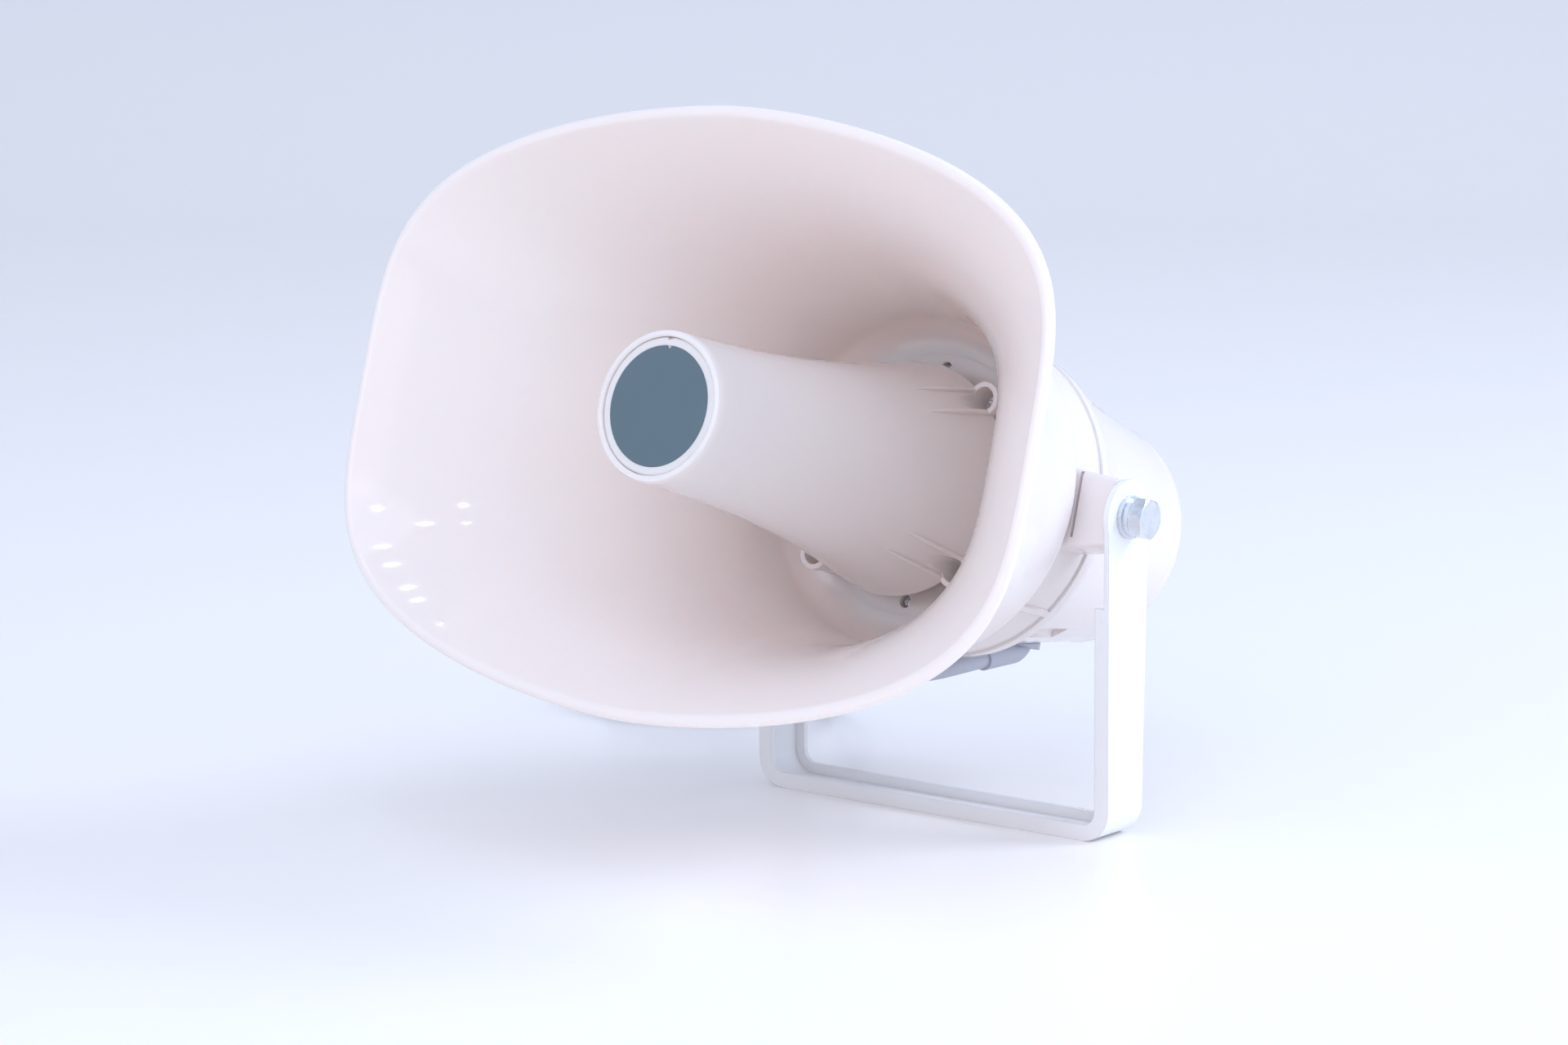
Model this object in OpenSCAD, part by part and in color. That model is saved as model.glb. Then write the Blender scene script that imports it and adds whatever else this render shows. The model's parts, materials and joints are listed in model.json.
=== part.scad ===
// Public address horn speaker: a folded horn on a U-shaped steel bracket.
// The part stands on its bracket. X runs along the tilt bolts, the mouth faces -Y, and Z is up.
// In the horn's own frame its axis is Z, pointing out of the mouth, and Y is up.

/* [Mouth] */
// Full width of the mouth over its rim
mouth_w = 285; // [265:1:305]
// Full height of the mouth over its rim
mouth_h = 205; // [185:1:225]
// Distance from the tilt bolts forward to the mouth, along the horn's axis
mouth_reach = 159.5; // [150:0.5:170]
// Roundness of the mouth outline across its width: 2 is an ellipse, less is more pointed
mouth_arch = 1.7; // [1.6:0.05:2]
// Flatness of the mouth's sides: 2 is an ellipse, more is flatter
mouth_flat = 3.9; // [3:0.1:4.5]
// Thickness of the flare's wall
flare_wall = 2.6; // [2:0.1:3.2]
// Thickness of the bead round the rim
rim_bead = 4; // [3.4:0.1:5]
// Share of the width's growth that is curved and not straight
curve_w = 0.75; // [0.65:0.01:0.85]
// Share of the height's growth that is curved and not straight
curve_h = 0.6; // [0.5:0.01:0.7]

/* [Throat] */
// Outer radius of the flare's neck
neck_r = 62.2; // [61:0.1:64]
// Inner radius of the flare's neck
throat_r = 57.5; // [56:0.1:58]
// Distance from the tilt bolts forward to the neck's rear end
neck_at = 10; // [9.5:0.5:12]
// Radius that rounds the neck's rear edge
neck_round = 4.2; // [3:0.1:4.4]
// Width of the neck's inner lip, which the throat plate clamps
lip_w = 2.4; // [2:0.1:3]
// Thickness of the neck's inner lip
lip_t = 1.5; // [1.2:0.1:2]
// Thickness of the throat plate
throat_plate_t = 2.6; // [2:0.1:3.5]
// Radius of the fillet between the throat plate and the flare
throat_fillet = 6; // [3:0.5:6.5]

/* [Reflex bell] */
// Radius of the bell's front end
tip_r = 25.2; // [24.4:0.1:26]
// Distance from the tilt bolts forward to the bell's front end
tip_at = 168; // [160:0.5:172]
// Radius of the bell's rear edge
bell_edge_r = 42; // [41:0.1:43]
// Distance from the tilt bolts forward to the bell's rear edge
bell_edge_at = 28; // [26:0.5:31]
// Thickness of the bell's wall
bell_wall = 2.2; // [1.8:0.1:2.6]
// Radius of the circle that the bell's four screws stand on
bell_screw_ring = 42.8; // [42:0.1:43.6]
// Outer radius of each screw boss
boss_r = 6; // [5.6:0.1:6.4]
// Radius of the well that takes a screw's head
boss_well_r = 4.2; // [3.9:0.1:4.4]
// Height of each screw boss's wall in front of the bell's rear edge
boss_len = 3.5; // [3.2:0.1:4]
// Length of each screw boss behind the bell's rear edge
boss_back = 8; // [6:0.5:9]
// Height of the two ribs beside each screw above the bell
rib_rise = 1.4; // [1:0.1:1.8]

/* [Tip cap and label] */
// Radius of the blank label
label_r = 20; // [19:0.1:20.6]
// Thickness of the label
label_t = 0.5; // [0.4:0.1:0.8]
// Thickness of the cap
cap_t = 3.2; // [2.8:0.1:4]
// Depth of the cap below the bell's front end
cap_depth = 0.9; // [0.5:0.1:1.5]

/* [Throat tube] */
// Bore radius of the throat tube at its rear end
tone_r1 = 11; // [10:0.1:12]
// Bore radius of the throat tube at its front end
tone_r2 = 15.5; // [14.5:0.1:16]
// Thickness of the throat tube's wall
tone_wall = 1.8; // [1.5:0.1:2.2]
// Distance from the tilt bolts forward to the throat tube's front end
tone_at = 146; // [140:0.5:150]
// Radius of the throat tube's flange
tone_flange_r = 26; // [24:0.5:28]

/* [Collar and lugs] */
// Outer radius of the collar behind the flare
collar_r = 57; // [56:0.1:57.2]
// Thickness of the collar's wall
collar_wall = 2.8; // [2.2:0.1:3.2]
// Distance from the tilt bolts back to the collar's rear edge
collar_back = 10; // [9.5:0.5:12]
// Thickness of the plate across the collar
collar_plate_t = 4; // [3.5:0.1:5]
// Height of a lug at its outer end
lug_h = 24; // [22:0.5:26]
// Height of a lug at its root
lug_root_h = 30; // [28:0.5:34]
// Length of a lug along the horn's axis at its outer end
lug_len = 17; // [16:0.5:18]
// Radius that rounds the lug's long edges
lug_round = 2.5; // [1.5:0.1:4]
// Rise of the horn's axis above the tilt bolts
axis_rise = 1.5; // [0:0.1:3]

/* [Rear cover] */
// Radius of the rear cover's front ring
cover_r = 57.8; // [57.4:0.1:59]
// Distance from the tilt bolts back to the rear cover's end
cover_back = 106; // [104:0.5:110]
// Radius of the rear cover behind its shoulder
cover_waist_r = 51.6; // [51:0.1:53]
// Radius of the rear cover where its dome starts
cover_dome_r = 42.5; // [42:0.1:44]
// Thickness of the rear cover's wall
cover_wall = 2.5; // [2:0.1:3]
// Radius of the circle that the rear cover's screws stand on
cover_screw_ring = 49; // [48.5:0.1:49.4]

/* [Driver] */
// Radius of the driver's front plate
driver_r = 46; // [45.5:0.1:47]
// Thickness of the driver's gasket
gasket_t = 0.8; // [0.5:0.1:1.2]
// Radius of the diaphragm's dome
dome_r = 18.6; // [18.6:0.1:18.8]
// Height of the diaphragm's dome
dome_h = 4; // [3.5:0.1:4.2]
// Thickness of the diaphragm
dome_t = 0.5; // [0.4:0.1:0.6]
// Height of the voice coil
coil_h = 9; // [8:0.5:9.5]
// Radial gap between the voice coil and the iron
coil_gap = 0.5; // [0.4:0.05:0.6]
// Radius of the magnet
magnet_r = 37.5; // [36:0.1:37.7]
// Thickness of the magnet
magnet_t = 14; // [12:0.5:15]
// Radius of the hole in the magnet
magnet_hole_r = 24; // [23:0.1:25]
// Thickness of the iron top plate
top_plate_t = 6; // [5:0.5:6.5]
// Thickness of the iron back plate
back_plate_t = 5; // [4.5:0.5:6]

/* [Transformer] */
// Width of the transformer's core
core_w = 44; // [40:0.5:46]
// Height of the transformer's core
core_h = 26; // [22:0.5:28]
// Length of the transformer's core
core_len = 36; // [32:0.5:37]
// Thickness of the strap that holds the core
strap_t = 1.5; // [1.2:0.1:2]

/* [Bracket] */
// Outer width of the bracket
bracket_w = 154.2; // [153:0.1:158]
// Height of the tilt bolts above the bracket's base
pivot_h = 114; // [112:0.5:118]
// Thickness of the bracket's sheet
sheet_t = 2; // [1.6:0.1:2.4]
// Depth of the bracket at the base
bracket_d = 21; // [20:0.5:23]
// Radius of the round end of each arm
arm_end_r = 13; // [12.5:0.1:14]
// Outer radius of the bracket's two bends
bend_r = 11; // [9:0.5:13]
// Height of the flanges along both edges
flange_h = 5.7; // [5:0.1:6.5]
// Distance from the bolts down to the top of the flanges
flange_drop = 31; // [28:0.5:34]
// Radius of the three holes in the base
base_hole_r = 4.5; // [3.5:0.1:5]
// Distance between the two outer holes in the base
base_hole_span = 98; // [90:1:104]

/* [Tilt bolts] */
// Radius of the tilt bolts
bolt_r = 4; // [3:0.5:4]
// Running clearance round a bolt in its arm
bolt_clear = 0.08; // [0.05:0.01:0.1]
// Width of a bolt's head across its flats
bolt_head_w = 13; // [12:0.5:14]
// Thickness of a bolt's head
bolt_head_t = 5.3; // [5:0.1:6]
// Length of a bolt behind the arm's outer face
bolt_len = 16; // [14:0.5:17]
// Outer radius of the flat washers
washer_r = 7.5; // [7.5:0.1:8.5]
// Thickness of the flat washers
washer_t = 1.6; // [1.2:0.1:1.8]
// Outer radius of the spring washers
spring_washer_r = 6.8; // [6.6:0.1:7.2]
// Thickness of the spring washers
spring_washer_t = 2; // [1.6:0.1:2.2]
// Outer radius of the brass inserts in the lugs
insert_r = 6; // [5.6:0.1:6.4]

/* [Lead] */
// Diameter of the lead
lead_d = 6.5; // [6.5:0.1:6.6]
// Number of turns in the lead's coil
coil_turns = 2.7; // [2.6:0.05:2.8]
// Greatest radius of the coil, to the lead's centre line
coil_r = 42; // [41.5:0.1:42]

/* [Pose] */
// Upward tilt of the horn at rest
tilt = 16.6; // [15:0.1:18]

/* [Hidden] */

// Colours
plastic = "#eeeae8";
inner_plastic = "#e3dedb";
bracket_paint = "#eef1f8";
zinc = "#c9ccd0";
teal = "#677d89";
rubber = "#2b2c2e";
silicone = "#d9d6d4";
grey_pvc = "#a9adbd";

// Clearances
slip = 0.2;      // between mouldings that slide together
seat = 0.05;     // round inserts and screws in their seats
lug_gap = 0.3;   // between a lug and its arm
slot_gap = 1;    // between a lug and the flare's neck

// Stations along the horn's axis, ahead of the tilt bolts
lip_top = neck_at + lip_t;
bowl_at = lip_top + throat_plate_t;
bead_at = mouth_reach - rim_bead / 2;
bowl_len = bead_at - bowl_at;
plate_rear = neck_at - collar_plate_t;
gasket_rear = plate_rear - gasket_t;
dome_roof = 1.2;                                   // room over the dome
front_rear = gasket_rear - 6.6 - dome_h - dome_roof;
edge_rear = front_rear - dome_t;
spacer_rear = edge_rear - gasket_t;
top_plate_rear = spacer_rear - top_plate_t;
magnet_rear = top_plate_rear - magnet_t;
back_rear = magnet_rear - back_plate_t;
core_front = back_rear - slip;
core_rear = core_front - core_len;
strap_rear = core_rear - strap_t;
cover_front = -collar_back - gasket_t;
shoulder_at = cover_front - 7.4;
waist_at = shoulder_at - 8;
dome_at = -cover_back + 22;

// Radii
lip_r = throat_r - lip_w;
driver_screw_ring = driver_r - 4.9;
collar_boss_r = 5.6;
top_plate_r = driver_r - 0.5;
coil_out = dome_r - 0.2;
coil_in = coil_out - 1;
pole_r = coil_in - coil_gap;
plate_hole_r = coil_out + coil_gap + 0.3;
chamber_r = dome_r + 1;

// Places along the tilt bolts
arm_face = bracket_w / 2;
lug_face = arm_face - sheet_t - lug_gap;
washer_at = arm_face + seat;
spring_at = washer_at + washer_t;
head_at = spring_at + spring_washer_t;
insert_len = 12;
insert_out = lug_face - slip;
insert_in = insert_out - insert_len;
bolt_end = arm_face - bolt_len;

// Self-tapping screws: shank radius, clearance hole, pilot hole, head radius and head height
screw_r = 1.75;
screw_hole_r = 1.95;
pilot_r = screw_r + seat;
head_r = 3.3;
head_h = 2.2;
bell_screw_len = 11;
plate_screw_r = 1.2;
plate_head_r = 2.1;
plate_head_h = 1.6;

quarter = [45:90:315];
cover_angles = [60, 120, 240, 300];
plate_screw_ring = bell_screw_ring - 1;
curve_power_w = 2.6;
curve_power_h = 3;
steps_u = 14;

// The lead's route from the strain relief to its coil, resting on the ground at its far end
lead_path = [
  [0, 22, 51.3], [0, 8, 51.3], [0, -6, 51.5], [-2.4, -17.9, 51.8], [-9.1, -27.9, 52], [-19.1, -34.6, 51.9],
  [-31, -37, 51.3], [-42.9, -34.6, 50.2], [-52.9, -27.9, 48.6], [-59.6, -17.9, 46.2], [-62, -6, 43.2],
  [-63, 5.5, 39.8], [-64.8, 17, 36.4], [-67.7, 28.8, 32.8], [-72.4, 40.5, 29.5], [-79.5, 53.5, 25.5],
  [-88.5, 65, 21], [-98, 76, 16.5], [-108.5, 86, 12], [-119.5, 95, 8], [-131, 103.5, 5.2],
  [-142.1, 111.8, 4.4], [-152.5, 119.6, 4.4]
];
coil_steps = 24;
coil_side = lead_d + 0.7;                          // between turns side by side
coil_rise = lead_d + 0.6;                          // between the two layers
tie_t = 0.8;
tie_w = 5;
tie_slack = 0.35;
tie_turn = 0.85;                                   // where one turn lies straight above the other
core_r = 1.15;
strand_r = 0.65;

// Shared shapes

module in_horn() {
  translate([0, 0, pivot_h]) rotate([90 - tilt, 0, 0]) translate([0, axis_rise, 0]) children();
}

module at_angles(angles, ring) {
  for (a = angles) rotate([0, 0, a]) translate([ring, 0, 0]) children();
}

module both_sides() {
  children();
  mirror([1, 0, 0]) children();
}

// A ring or disc of revolution between two stations
module disc(r, from, to, hole = 0) {
  translate([0, 0, to]) difference() {
    cylinder(r = r, h = from - to, $fn = 72);
    if (hole > 0) translate([0, 0, -1]) cylinder(r = hole, h = from - to + 2, $fn = 72);
  }
}

// A pan-head screw with a cross recess, its head's underside at the origin and its shank below
module pan_screw(r, len, cap_r, cap_h) {
  difference() {
    union() {
      translate([0, 0, -len]) cylinder(r = r, h = len + cap_h / 2, $fn = 24);
      rotate_extrude($fn = 32) polygon([
        [0, 0], [cap_r, 0], [cap_r, cap_h * 0.45], [cap_r * 0.85, cap_h * 0.8], [cap_r * 0.5, cap_h],
        [0, cap_h]
      ]);
    }
    for (a = [0, 90]) rotate([0, 0, a]) translate([-cap_r * 0.55, -cap_r * 0.11, cap_h * 0.4])
      cube([cap_r * 1.1, cap_r * 0.22, cap_h]);
  }
}

// Closed mesh over rings of points; a loop of rings closes on itself, a tube has flat ends
module skin(rings, loop = false) {
  n = len(rings[0]);
  m = len(rings);
  spans = loop ? m : m - 1;
  sides = [for (i = [0:spans - 1], k = [0:n - 1]) let (
    a = i * n + k, b = i * n + (k + 1) % n,
    c = ((i + 1) % m) * n + (k + 1) % n, d = ((i + 1) % m) * n + k
  ) each [[a, c, b], [a, d, c]]];
  ends = loop ? [] : [
    [for (k = [0:n - 1]) k],
    [for (k = [n - 1:-1:0]) (m - 1) * n + k]
  ];
  polyhedron(points = [for (ring = rings, p = ring) p], faces = concat(sides, ends), convexity = 10);
}

// Rings of points round a path, for a cord
function unit(v) = v / norm(v);
function heading(path, i) =
  unit(path[min(i + 1, len(path) - 1)] - path[max(i - 1, 0)]);
function around(path, radius, n) = [for (i = [0:len(path) - 1]) let (
  t = heading(path, i), side = unit(cross(t, [0, 0, 1])), up = cross(t, side),
  r = is_list(radius) ? radius[i] : radius
) [for (k = [0:n - 1]) path[i] + r * (cos(360 * k / n) * side + sin(360 * k / n) * up)]];

// The flare

function grow(u, curve, power) = (1 - curve) * u + curve * pow(u, power);
function half_w(u) = throat_r + (mouth_w / 2 - rim_bead - throat_r) * grow(u, curve_w, curve_power_w);
function half_h(u) = throat_r + (mouth_h / 2 - rim_bead - throat_r) * grow(u, curve_h, curve_power_h);
function bowl_z(u) = bowl_at + bowl_len * u;
function wall_at(u) = flare_wall + (rim_bead - flare_wall) * pow(u, 10);
function signed_pow(v, p) = sign(v) * pow(abs(v), p);

// Angles round the outline, closer together where its sides are flat
quarter_steps = 18;
spread = 1.6;
outline_angles = [for (k = [0:4 * quarter_steps - 1]) let (
  q = floor(k / quarter_steps), f = (k % quarter_steps) / quarter_steps
) q % 2 == 0 ? 90 * (q + pow(f, spread)) : 90 * (q + 1 - pow(1 - f, spread))];

// One outline of the flare; u runs from 0 at the round throat to 1 at the mouth. It runs clockwise,
// because the outlines follow each other forward inside the flare and back outside it.
function outline(a, b, u, z) = let (
  px = 2 / (2 + (mouth_arch - 2) * u), py = 2 / (2 + (mouth_flat - 2) * u)
) [for (t = outline_angles) [a * signed_pow(cos(t), px), -b * signed_pow(sin(t), py), z]];
function round_ring(r, z) = outline(r, r, 0, z);

flare_inside = [for (i = [0:steps_u]) let (u = i / steps_u) outline(half_w(u), half_h(u), u, bowl_z(u))];
flare_bead = [for (a = [30:30:180]) let (grow_out = rim_bead / 2 * (1 - cos(a)))
  outline(half_w(1) + grow_out, half_h(1) + grow_out, 1, bead_at + rim_bead / 2 * sin(a))];
flare_outside = [for (i = [steps_u - 0.4:-1:0.6]) let (u = i / steps_u, w = wall_at(u))
  outline(max(half_w(u) + w, neck_r), max(half_h(u) + w, neck_r), u, bowl_z(u) - flare_wall * 0.45 * u)];
flare_neck = [for (a = [0:18:90])
  round_ring(neck_r - neck_round * (1 - cos(a)), neck_at + neck_round * (1 - sin(a)))];

module horn_flare() {
  color(plastic) in_horn() skin(concat(
    [round_ring(lip_r, neck_at), round_ring(lip_r, lip_top), round_ring(throat_r, lip_top)],
    flare_inside, flare_bead, flare_outside, flare_neck
  ), loop = true);
}

// Behind the flare: the floor of the bowl, with posts for the reflex bell

tone_flange_t = 2;
boss_base = bell_edge_at - boss_back;
screw_seat_at = boss_base + 3;
plate_well_at = neck_at + 1;                        // where the heads of the plate's own screws sit

module throat_plate() {
  r = throat_r - 3 * seat;
  hole = tone_flange_r + slip / 2;
  flange_top = neck_at + tone_flange_t;
  lean = 0.11;                                      // the bowl opens by this much on each unit of depth
  fillet = [for (a = [90:-15:0])
    let (rise = throat_fillet * (1 - cos(a)))
      [r - 0.1 + lean * rise - throat_fillet * (1 - sin(a)), bowl_at + rise]];
  color(inner_plastic) in_horn() difference() {
    union() {
      rotate_extrude($fn = 96) polygon(concat(
        [[hole - 2.5, bowl_at], [hole - 2.5, flange_top], [hole, flange_top], [hole, neck_at],
         [lip_r - slip, neck_at], [lip_r - slip, lip_top], [r, lip_top],
         [r, bowl_at], [r + lean * throat_fillet, bowl_at + throat_fillet + 0.1]],
        fillet
      ));
      at_angles(quarter, bell_screw_ring) disc(boss_r, boss_base, bowl_at - 1);
    }
    at_angles(quarter, bell_screw_ring) disc(pilot_r, boss_base + 1, screw_seat_at - bell_screw_len - 0.4);
    at_angles([90, 270], plate_screw_ring) {
      disc(plate_screw_r + slip, bowl_at, neck_at - 1);
      disc(plate_head_r + slip, bowl_at + 1, plate_well_at);
    }
  }
}

module plate_screws() {
  color(zinc) in_horn() at_angles([90, 270], plate_screw_ring) translate([0, 0, plate_well_at])
    pan_screw(plate_screw_r, plate_well_at - plate_rear - 0.6, plate_head_r, plate_head_h);
}

// The reflex bell: the closed tube that turns the sound back

function bell_r(z) = let (v = (tip_at - z) / (tip_at - bell_edge_at))
  tip_r + (bell_edge_r - tip_r) * (0.15 * v + 0.85 * pow(v, 2.3));
bell_z = [for (i = [0:16]) bell_edge_at + (tip_at - 1 - bell_edge_at) * i / 16];
cap_rear = tip_at - cap_depth - cap_t;
boss_top = bell_edge_at + 28;
rib_t = 1.4;

module screw_bosses(top, base) {
  at_angles(quarter, bell_screw_ring) disc(boss_r, top, base);
}

// Two ribs run forward from each boss over the bell and fade into it
module bell_ribs() {
  intersection() {
    rotate_extrude($fn = 96) polygon(concat(
      [[0, bell_edge_at - 1], [bell_edge_r + rib_rise, bell_edge_at - 1]],
      [for (z = bell_z) if (z > bell_edge_at && z < boss_top - 3) [bell_r(z) + rib_rise, z]],
      [[bell_r(boss_top + 7) - 0.4, boss_top + 7], [0, boss_top + 7]]
    ));
    at_angles(quarter, 0) for (side = [-1, 1])
      translate([tip_r, side * (boss_well_r + 0.2 + rib_t / 2), boss_top])
        cube([2 * (bell_screw_ring - tip_r), rib_t, 2 * (boss_top - bell_edge_at + 1)], center = true);
  }
}

// The bell's bore from its rear edge to its tip, where the cap has a seat
module bell_bore() {
  tip_bore = tip_r - bell_wall;
  ledge = 1.2;
  rotate_extrude($fn = 96) polygon(concat(
    [[0, bell_edge_at - 1], [bell_edge_r - bell_wall, bell_edge_at - 1]],
    [for (z = bell_z) if (z > bell_edge_at && z < cap_rear - 3) [bell_r(z) - bell_wall, z]],
    [[tip_bore - ledge, cap_rear - 2], [tip_bore - ledge, cap_rear], [tip_bore, cap_rear],
     [tip_bore, tip_at - 0.4], [tip_bore + 0.6, tip_at + 0.2], [0, tip_at + 0.2]]
  ));
}

// The bell with its ribs and the part of its bosses that stands ahead of its rear edge
module bell_body() {
  difference() {
    union() {
      rotate_extrude($fn = 96) polygon(concat(
        [[0, bell_edge_at - 1], [bell_edge_r, bell_edge_at - 1]],
        [for (z = bell_z) if (z > bell_edge_at) [bell_r(z), z]],
        [[tip_r - 0.3, tip_at - 0.3], [tip_r - 1, tip_at], [0, tip_at]]
      ));
      screw_bosses(bell_edge_at + boss_len, bell_edge_at - 1);
      bell_ribs();
    }
    difference() {
      bell_bore();
      screw_bosses(boss_top, bell_edge_at - 2);
    }
    disc(bell_screw_ring + boss_r + 1, bell_edge_at, bell_edge_at - 3);
  }
}

module reflex_bell() {
  color(plastic) in_horn() difference() {
    union() {
      bell_body();
      at_angles(quarter, bell_screw_ring) disc(boss_r - 0.3, bell_edge_at + 0.5, boss_base);
    }
    at_angles(quarter, bell_screw_ring) {
      disc(boss_well_r, boss_top + 2, screw_seat_at);
      disc(screw_hole_r, screw_seat_at + 1, boss_base - 1);
    }
  }
}

module bell_screws() {
  color(zinc) in_horn() at_angles(quarter, bell_screw_ring)
    translate([0, 0, screw_seat_at]) pan_screw(screw_r, bell_screw_len, head_r, head_h);
}

module tip_cap() {
  r = tip_r - bell_wall - slip / 2;
  front = tip_at - cap_depth;
  dome_edge = 16;
  color(plastic) in_horn() difference() {
    rotate_extrude($fn = 96) polygon(concat(
      [[0, front - label_t], [label_r + slip / 2, front - label_t], [label_r + slip / 2, front],
       [r - 0.4, front], [r, front - 0.4], [r, cap_rear], [dome_edge, cap_rear]],
      [for (a = [15:15:90]) [dome_edge * cos(a), cap_rear - 9 * sin(a)]]
    ));
    translate([0, r, front]) rotate([0, 0, 8]) cube([2, 1.6, 2 * label_t + 1], center = true);
  }
}

module label_disc() {
  notch_r = 0.9;
  color(teal) in_horn() difference() {
    disc(label_r, tip_at - cap_depth, tip_at - cap_depth - label_t);
    translate([0, label_r, 0]) disc(notch_r, tip_at, tip_at - cap_depth - 2 * label_t);
  }
}

module throat_tube() {
  top = neck_at + tone_flange_t - slip / 2;
  color(inner_plastic) in_horn() rotate_extrude($fn = 72) polygon([
    [tone_r1, neck_at], [tone_flange_r, neck_at], [tone_flange_r, top], [tone_r1 + tone_wall + 1, top],
    [tone_r1 + tone_wall, top + 3], [tone_r2 + tone_wall, tone_at - 1],
    [tone_r2 + tone_wall - 0.6, tone_at], [tone_r2 + 0.6, tone_at], [tone_r2, tone_at - 1]
  ]);
}

// The collar that carries everything, with a lug at each side for the tilt bolts

module lug_slab(x, h, depth) {
  translate([x, 0, 0]) rotate([90, 0, 90]) linear_extrude(1)
    offset(r = lug_round, $fn = 24) square([h - 2 * lug_round, depth - 2 * lug_round], center = true);
}

module lug() {
  translate([0, -axis_rise, 0]) hull() {
    lug_slab(collar_r - 7, lug_root_h, 2 * (neck_at - slot_gap));
    lug_slab(lug_face - 1, lug_h, lug_len);
  }
}

// A cylinder along the tilt bolts, from one distance beside the horn's middle to another
module along_bolts(r, from, to) {
  translate([from, -axis_rise, 0]) rotate([0, 90, 0]) cylinder(r = r, h = to - from, $fn = 48);
}

module mount_collar() {
  inner_r = collar_r - collar_wall;
  groove_w = 1.1;
  color(plastic) in_horn() difference() {
    union() {
      rotate_extrude($fn = 96) polygon([
        [tone_r1, plate_rear], [tone_r1, neck_at], [collar_r - 0.5, neck_at], [collar_r, neck_at - 0.5],
        [collar_r, -collar_back], [inner_r, -collar_back], [inner_r, plate_rear]
      ]);
      difference() {
        at_angles(cover_angles, cover_screw_ring) disc(collar_boss_r, neck_at - 1, -collar_back);
        disc(driver_r + 2 * slip, plate_rear, -collar_back - 1);
      }
      difference() {
        both_sides() lug();
        disc(inner_r + collar_wall / 2, neck_at, -neck_at);
        both_sides() translate([neck_r - 2, -lug_h / 2 + 0.5, insert_r + 0.8])
          cube([groove_w, lug_h - 1, neck_at]);
      }
      for (a = [-41, 221]) rotate([0, 0, a]) translate([collar_r - 1, -1.2, -collar_back])
        cube([2.4, 2.4, collar_back + neck_at - 1.5]);
    }
    both_sides() {
      along_bolts(insert_r + seat, insert_in - seat, lug_face + 1);
      along_bolts(bolt_r + 2 * slip, bolt_end - 1, insert_in);
    }
    at_angles(cover_angles, cover_screw_ring) disc(pilot_r, neck_at - 4, -collar_back - 1);
    at_angles(quarter, driver_screw_ring) disc(pilot_r, neck_at + 1, plate_rear - 1);
    at_angles([90, 270], plate_screw_ring) disc(plate_screw_r + seat, neck_at + 1, plate_rear - 1);
  }
}

module lug_inserts() {
  color("#b08d4a") in_horn() both_sides() difference() {
    along_bolts(insert_r, insert_in, insert_out);
    along_bolts(bolt_r + seat, insert_in - 1, insert_out + 1);
  }
}

// The tilt bolts and their washers

module tilt_bolts() {
  hex_r = bolt_head_w / 2 / cos(30);
  color(zinc) in_horn() both_sides() {
    along_bolts(bolt_r, bolt_end + 0.8, head_at + 1);
    translate([bolt_end, -axis_rise, 0]) rotate([0, 90, 0])
      cylinder(r1 = bolt_r - 0.8, r2 = bolt_r, h = 0.8, $fn = 48);
    translate([head_at, -axis_rise, 0]) rotate([0, 90, 0]) intersection() {
      cylinder(r = hex_r, h = bolt_head_t, $fn = 6);
      rotate_extrude($fn = 48) polygon([
        [0, 0], [hex_r - 0.8, 0], [hex_r, 0.4], [hex_r, bolt_head_t - 1], [hex_r - 1.2, bolt_head_t],
        [0, bolt_head_t]
      ]);
    }
  }
}

module spring_washers() {
  color(zinc) in_horn() both_sides() difference() {
    along_bolts(spring_washer_r, spring_at, head_at);
    along_bolts(bolt_r + slip, spring_at - 1, head_at + 1);
    translate([spring_at - 1, -axis_rise, 0]) rotate([200, 0, 0]) translate([0, -0.6, 0])
      cube([spring_washer_t + 2, 1.2, spring_washer_r + 1]);
  }
}

module flat_washers() {
  color(zinc) in_horn() both_sides() difference() {
    along_bolts(washer_r, washer_at, spring_at);
    along_bolts(bolt_r + slip, washer_at - 1, spring_at + 1);
  }
}

// The rear cover, with four long pockets for its screws

cover_power = 2.4;
pocket_floor = cover_front - 9.7;
pocket_r = 3.9;
pocket_wall = 1.6;
pocket_len = 29.3;
function cover_dome(r, len) = [for (a = [0:7.5:90])
  [r * pow(cos(a), 2 / cover_power), dome_at - len * pow(sin(a), 2 / cover_power)]];

// The cover's outer line from its front ring to its rear end, shrunk by a wall or grown by a gap
function cover_line(inset) = concat(
  [[cover_r - inset, cover_front], [cover_r - 0.4 - inset, shoulder_at + 2],
   [cover_r - 1.6 - inset, shoulder_at], [cover_waist_r + 0.6 - inset, waist_at + 1.5],
   [cover_waist_r - inset, waist_at]],
  cover_dome(cover_dome_r - inset, cover_back + dome_at - inset)
);

module cover_form(inset) {
  rotate_extrude($fn = 96) polygon(concat([[0, cover_front]], cover_line(inset)));
}

// The hollow inside the wall, with a tube left round each pocket
module cover_hollow() {
  difference() {
    rotate_extrude($fn = 96) polygon(concat(
      [[0, cover_front + 1], [cover_r - cover_wall, cover_front + 1]], cover_line(cover_wall)
    ));
    at_angles(cover_angles, cover_screw_ring)
      disc(pocket_r + pocket_wall, cover_front + 2, pocket_floor - pocket_len - pocket_wall);
  }
  disc(driver_r + 2 * slip, cover_front + 1, top_plate_rear - head_h - 1);
}

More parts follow.
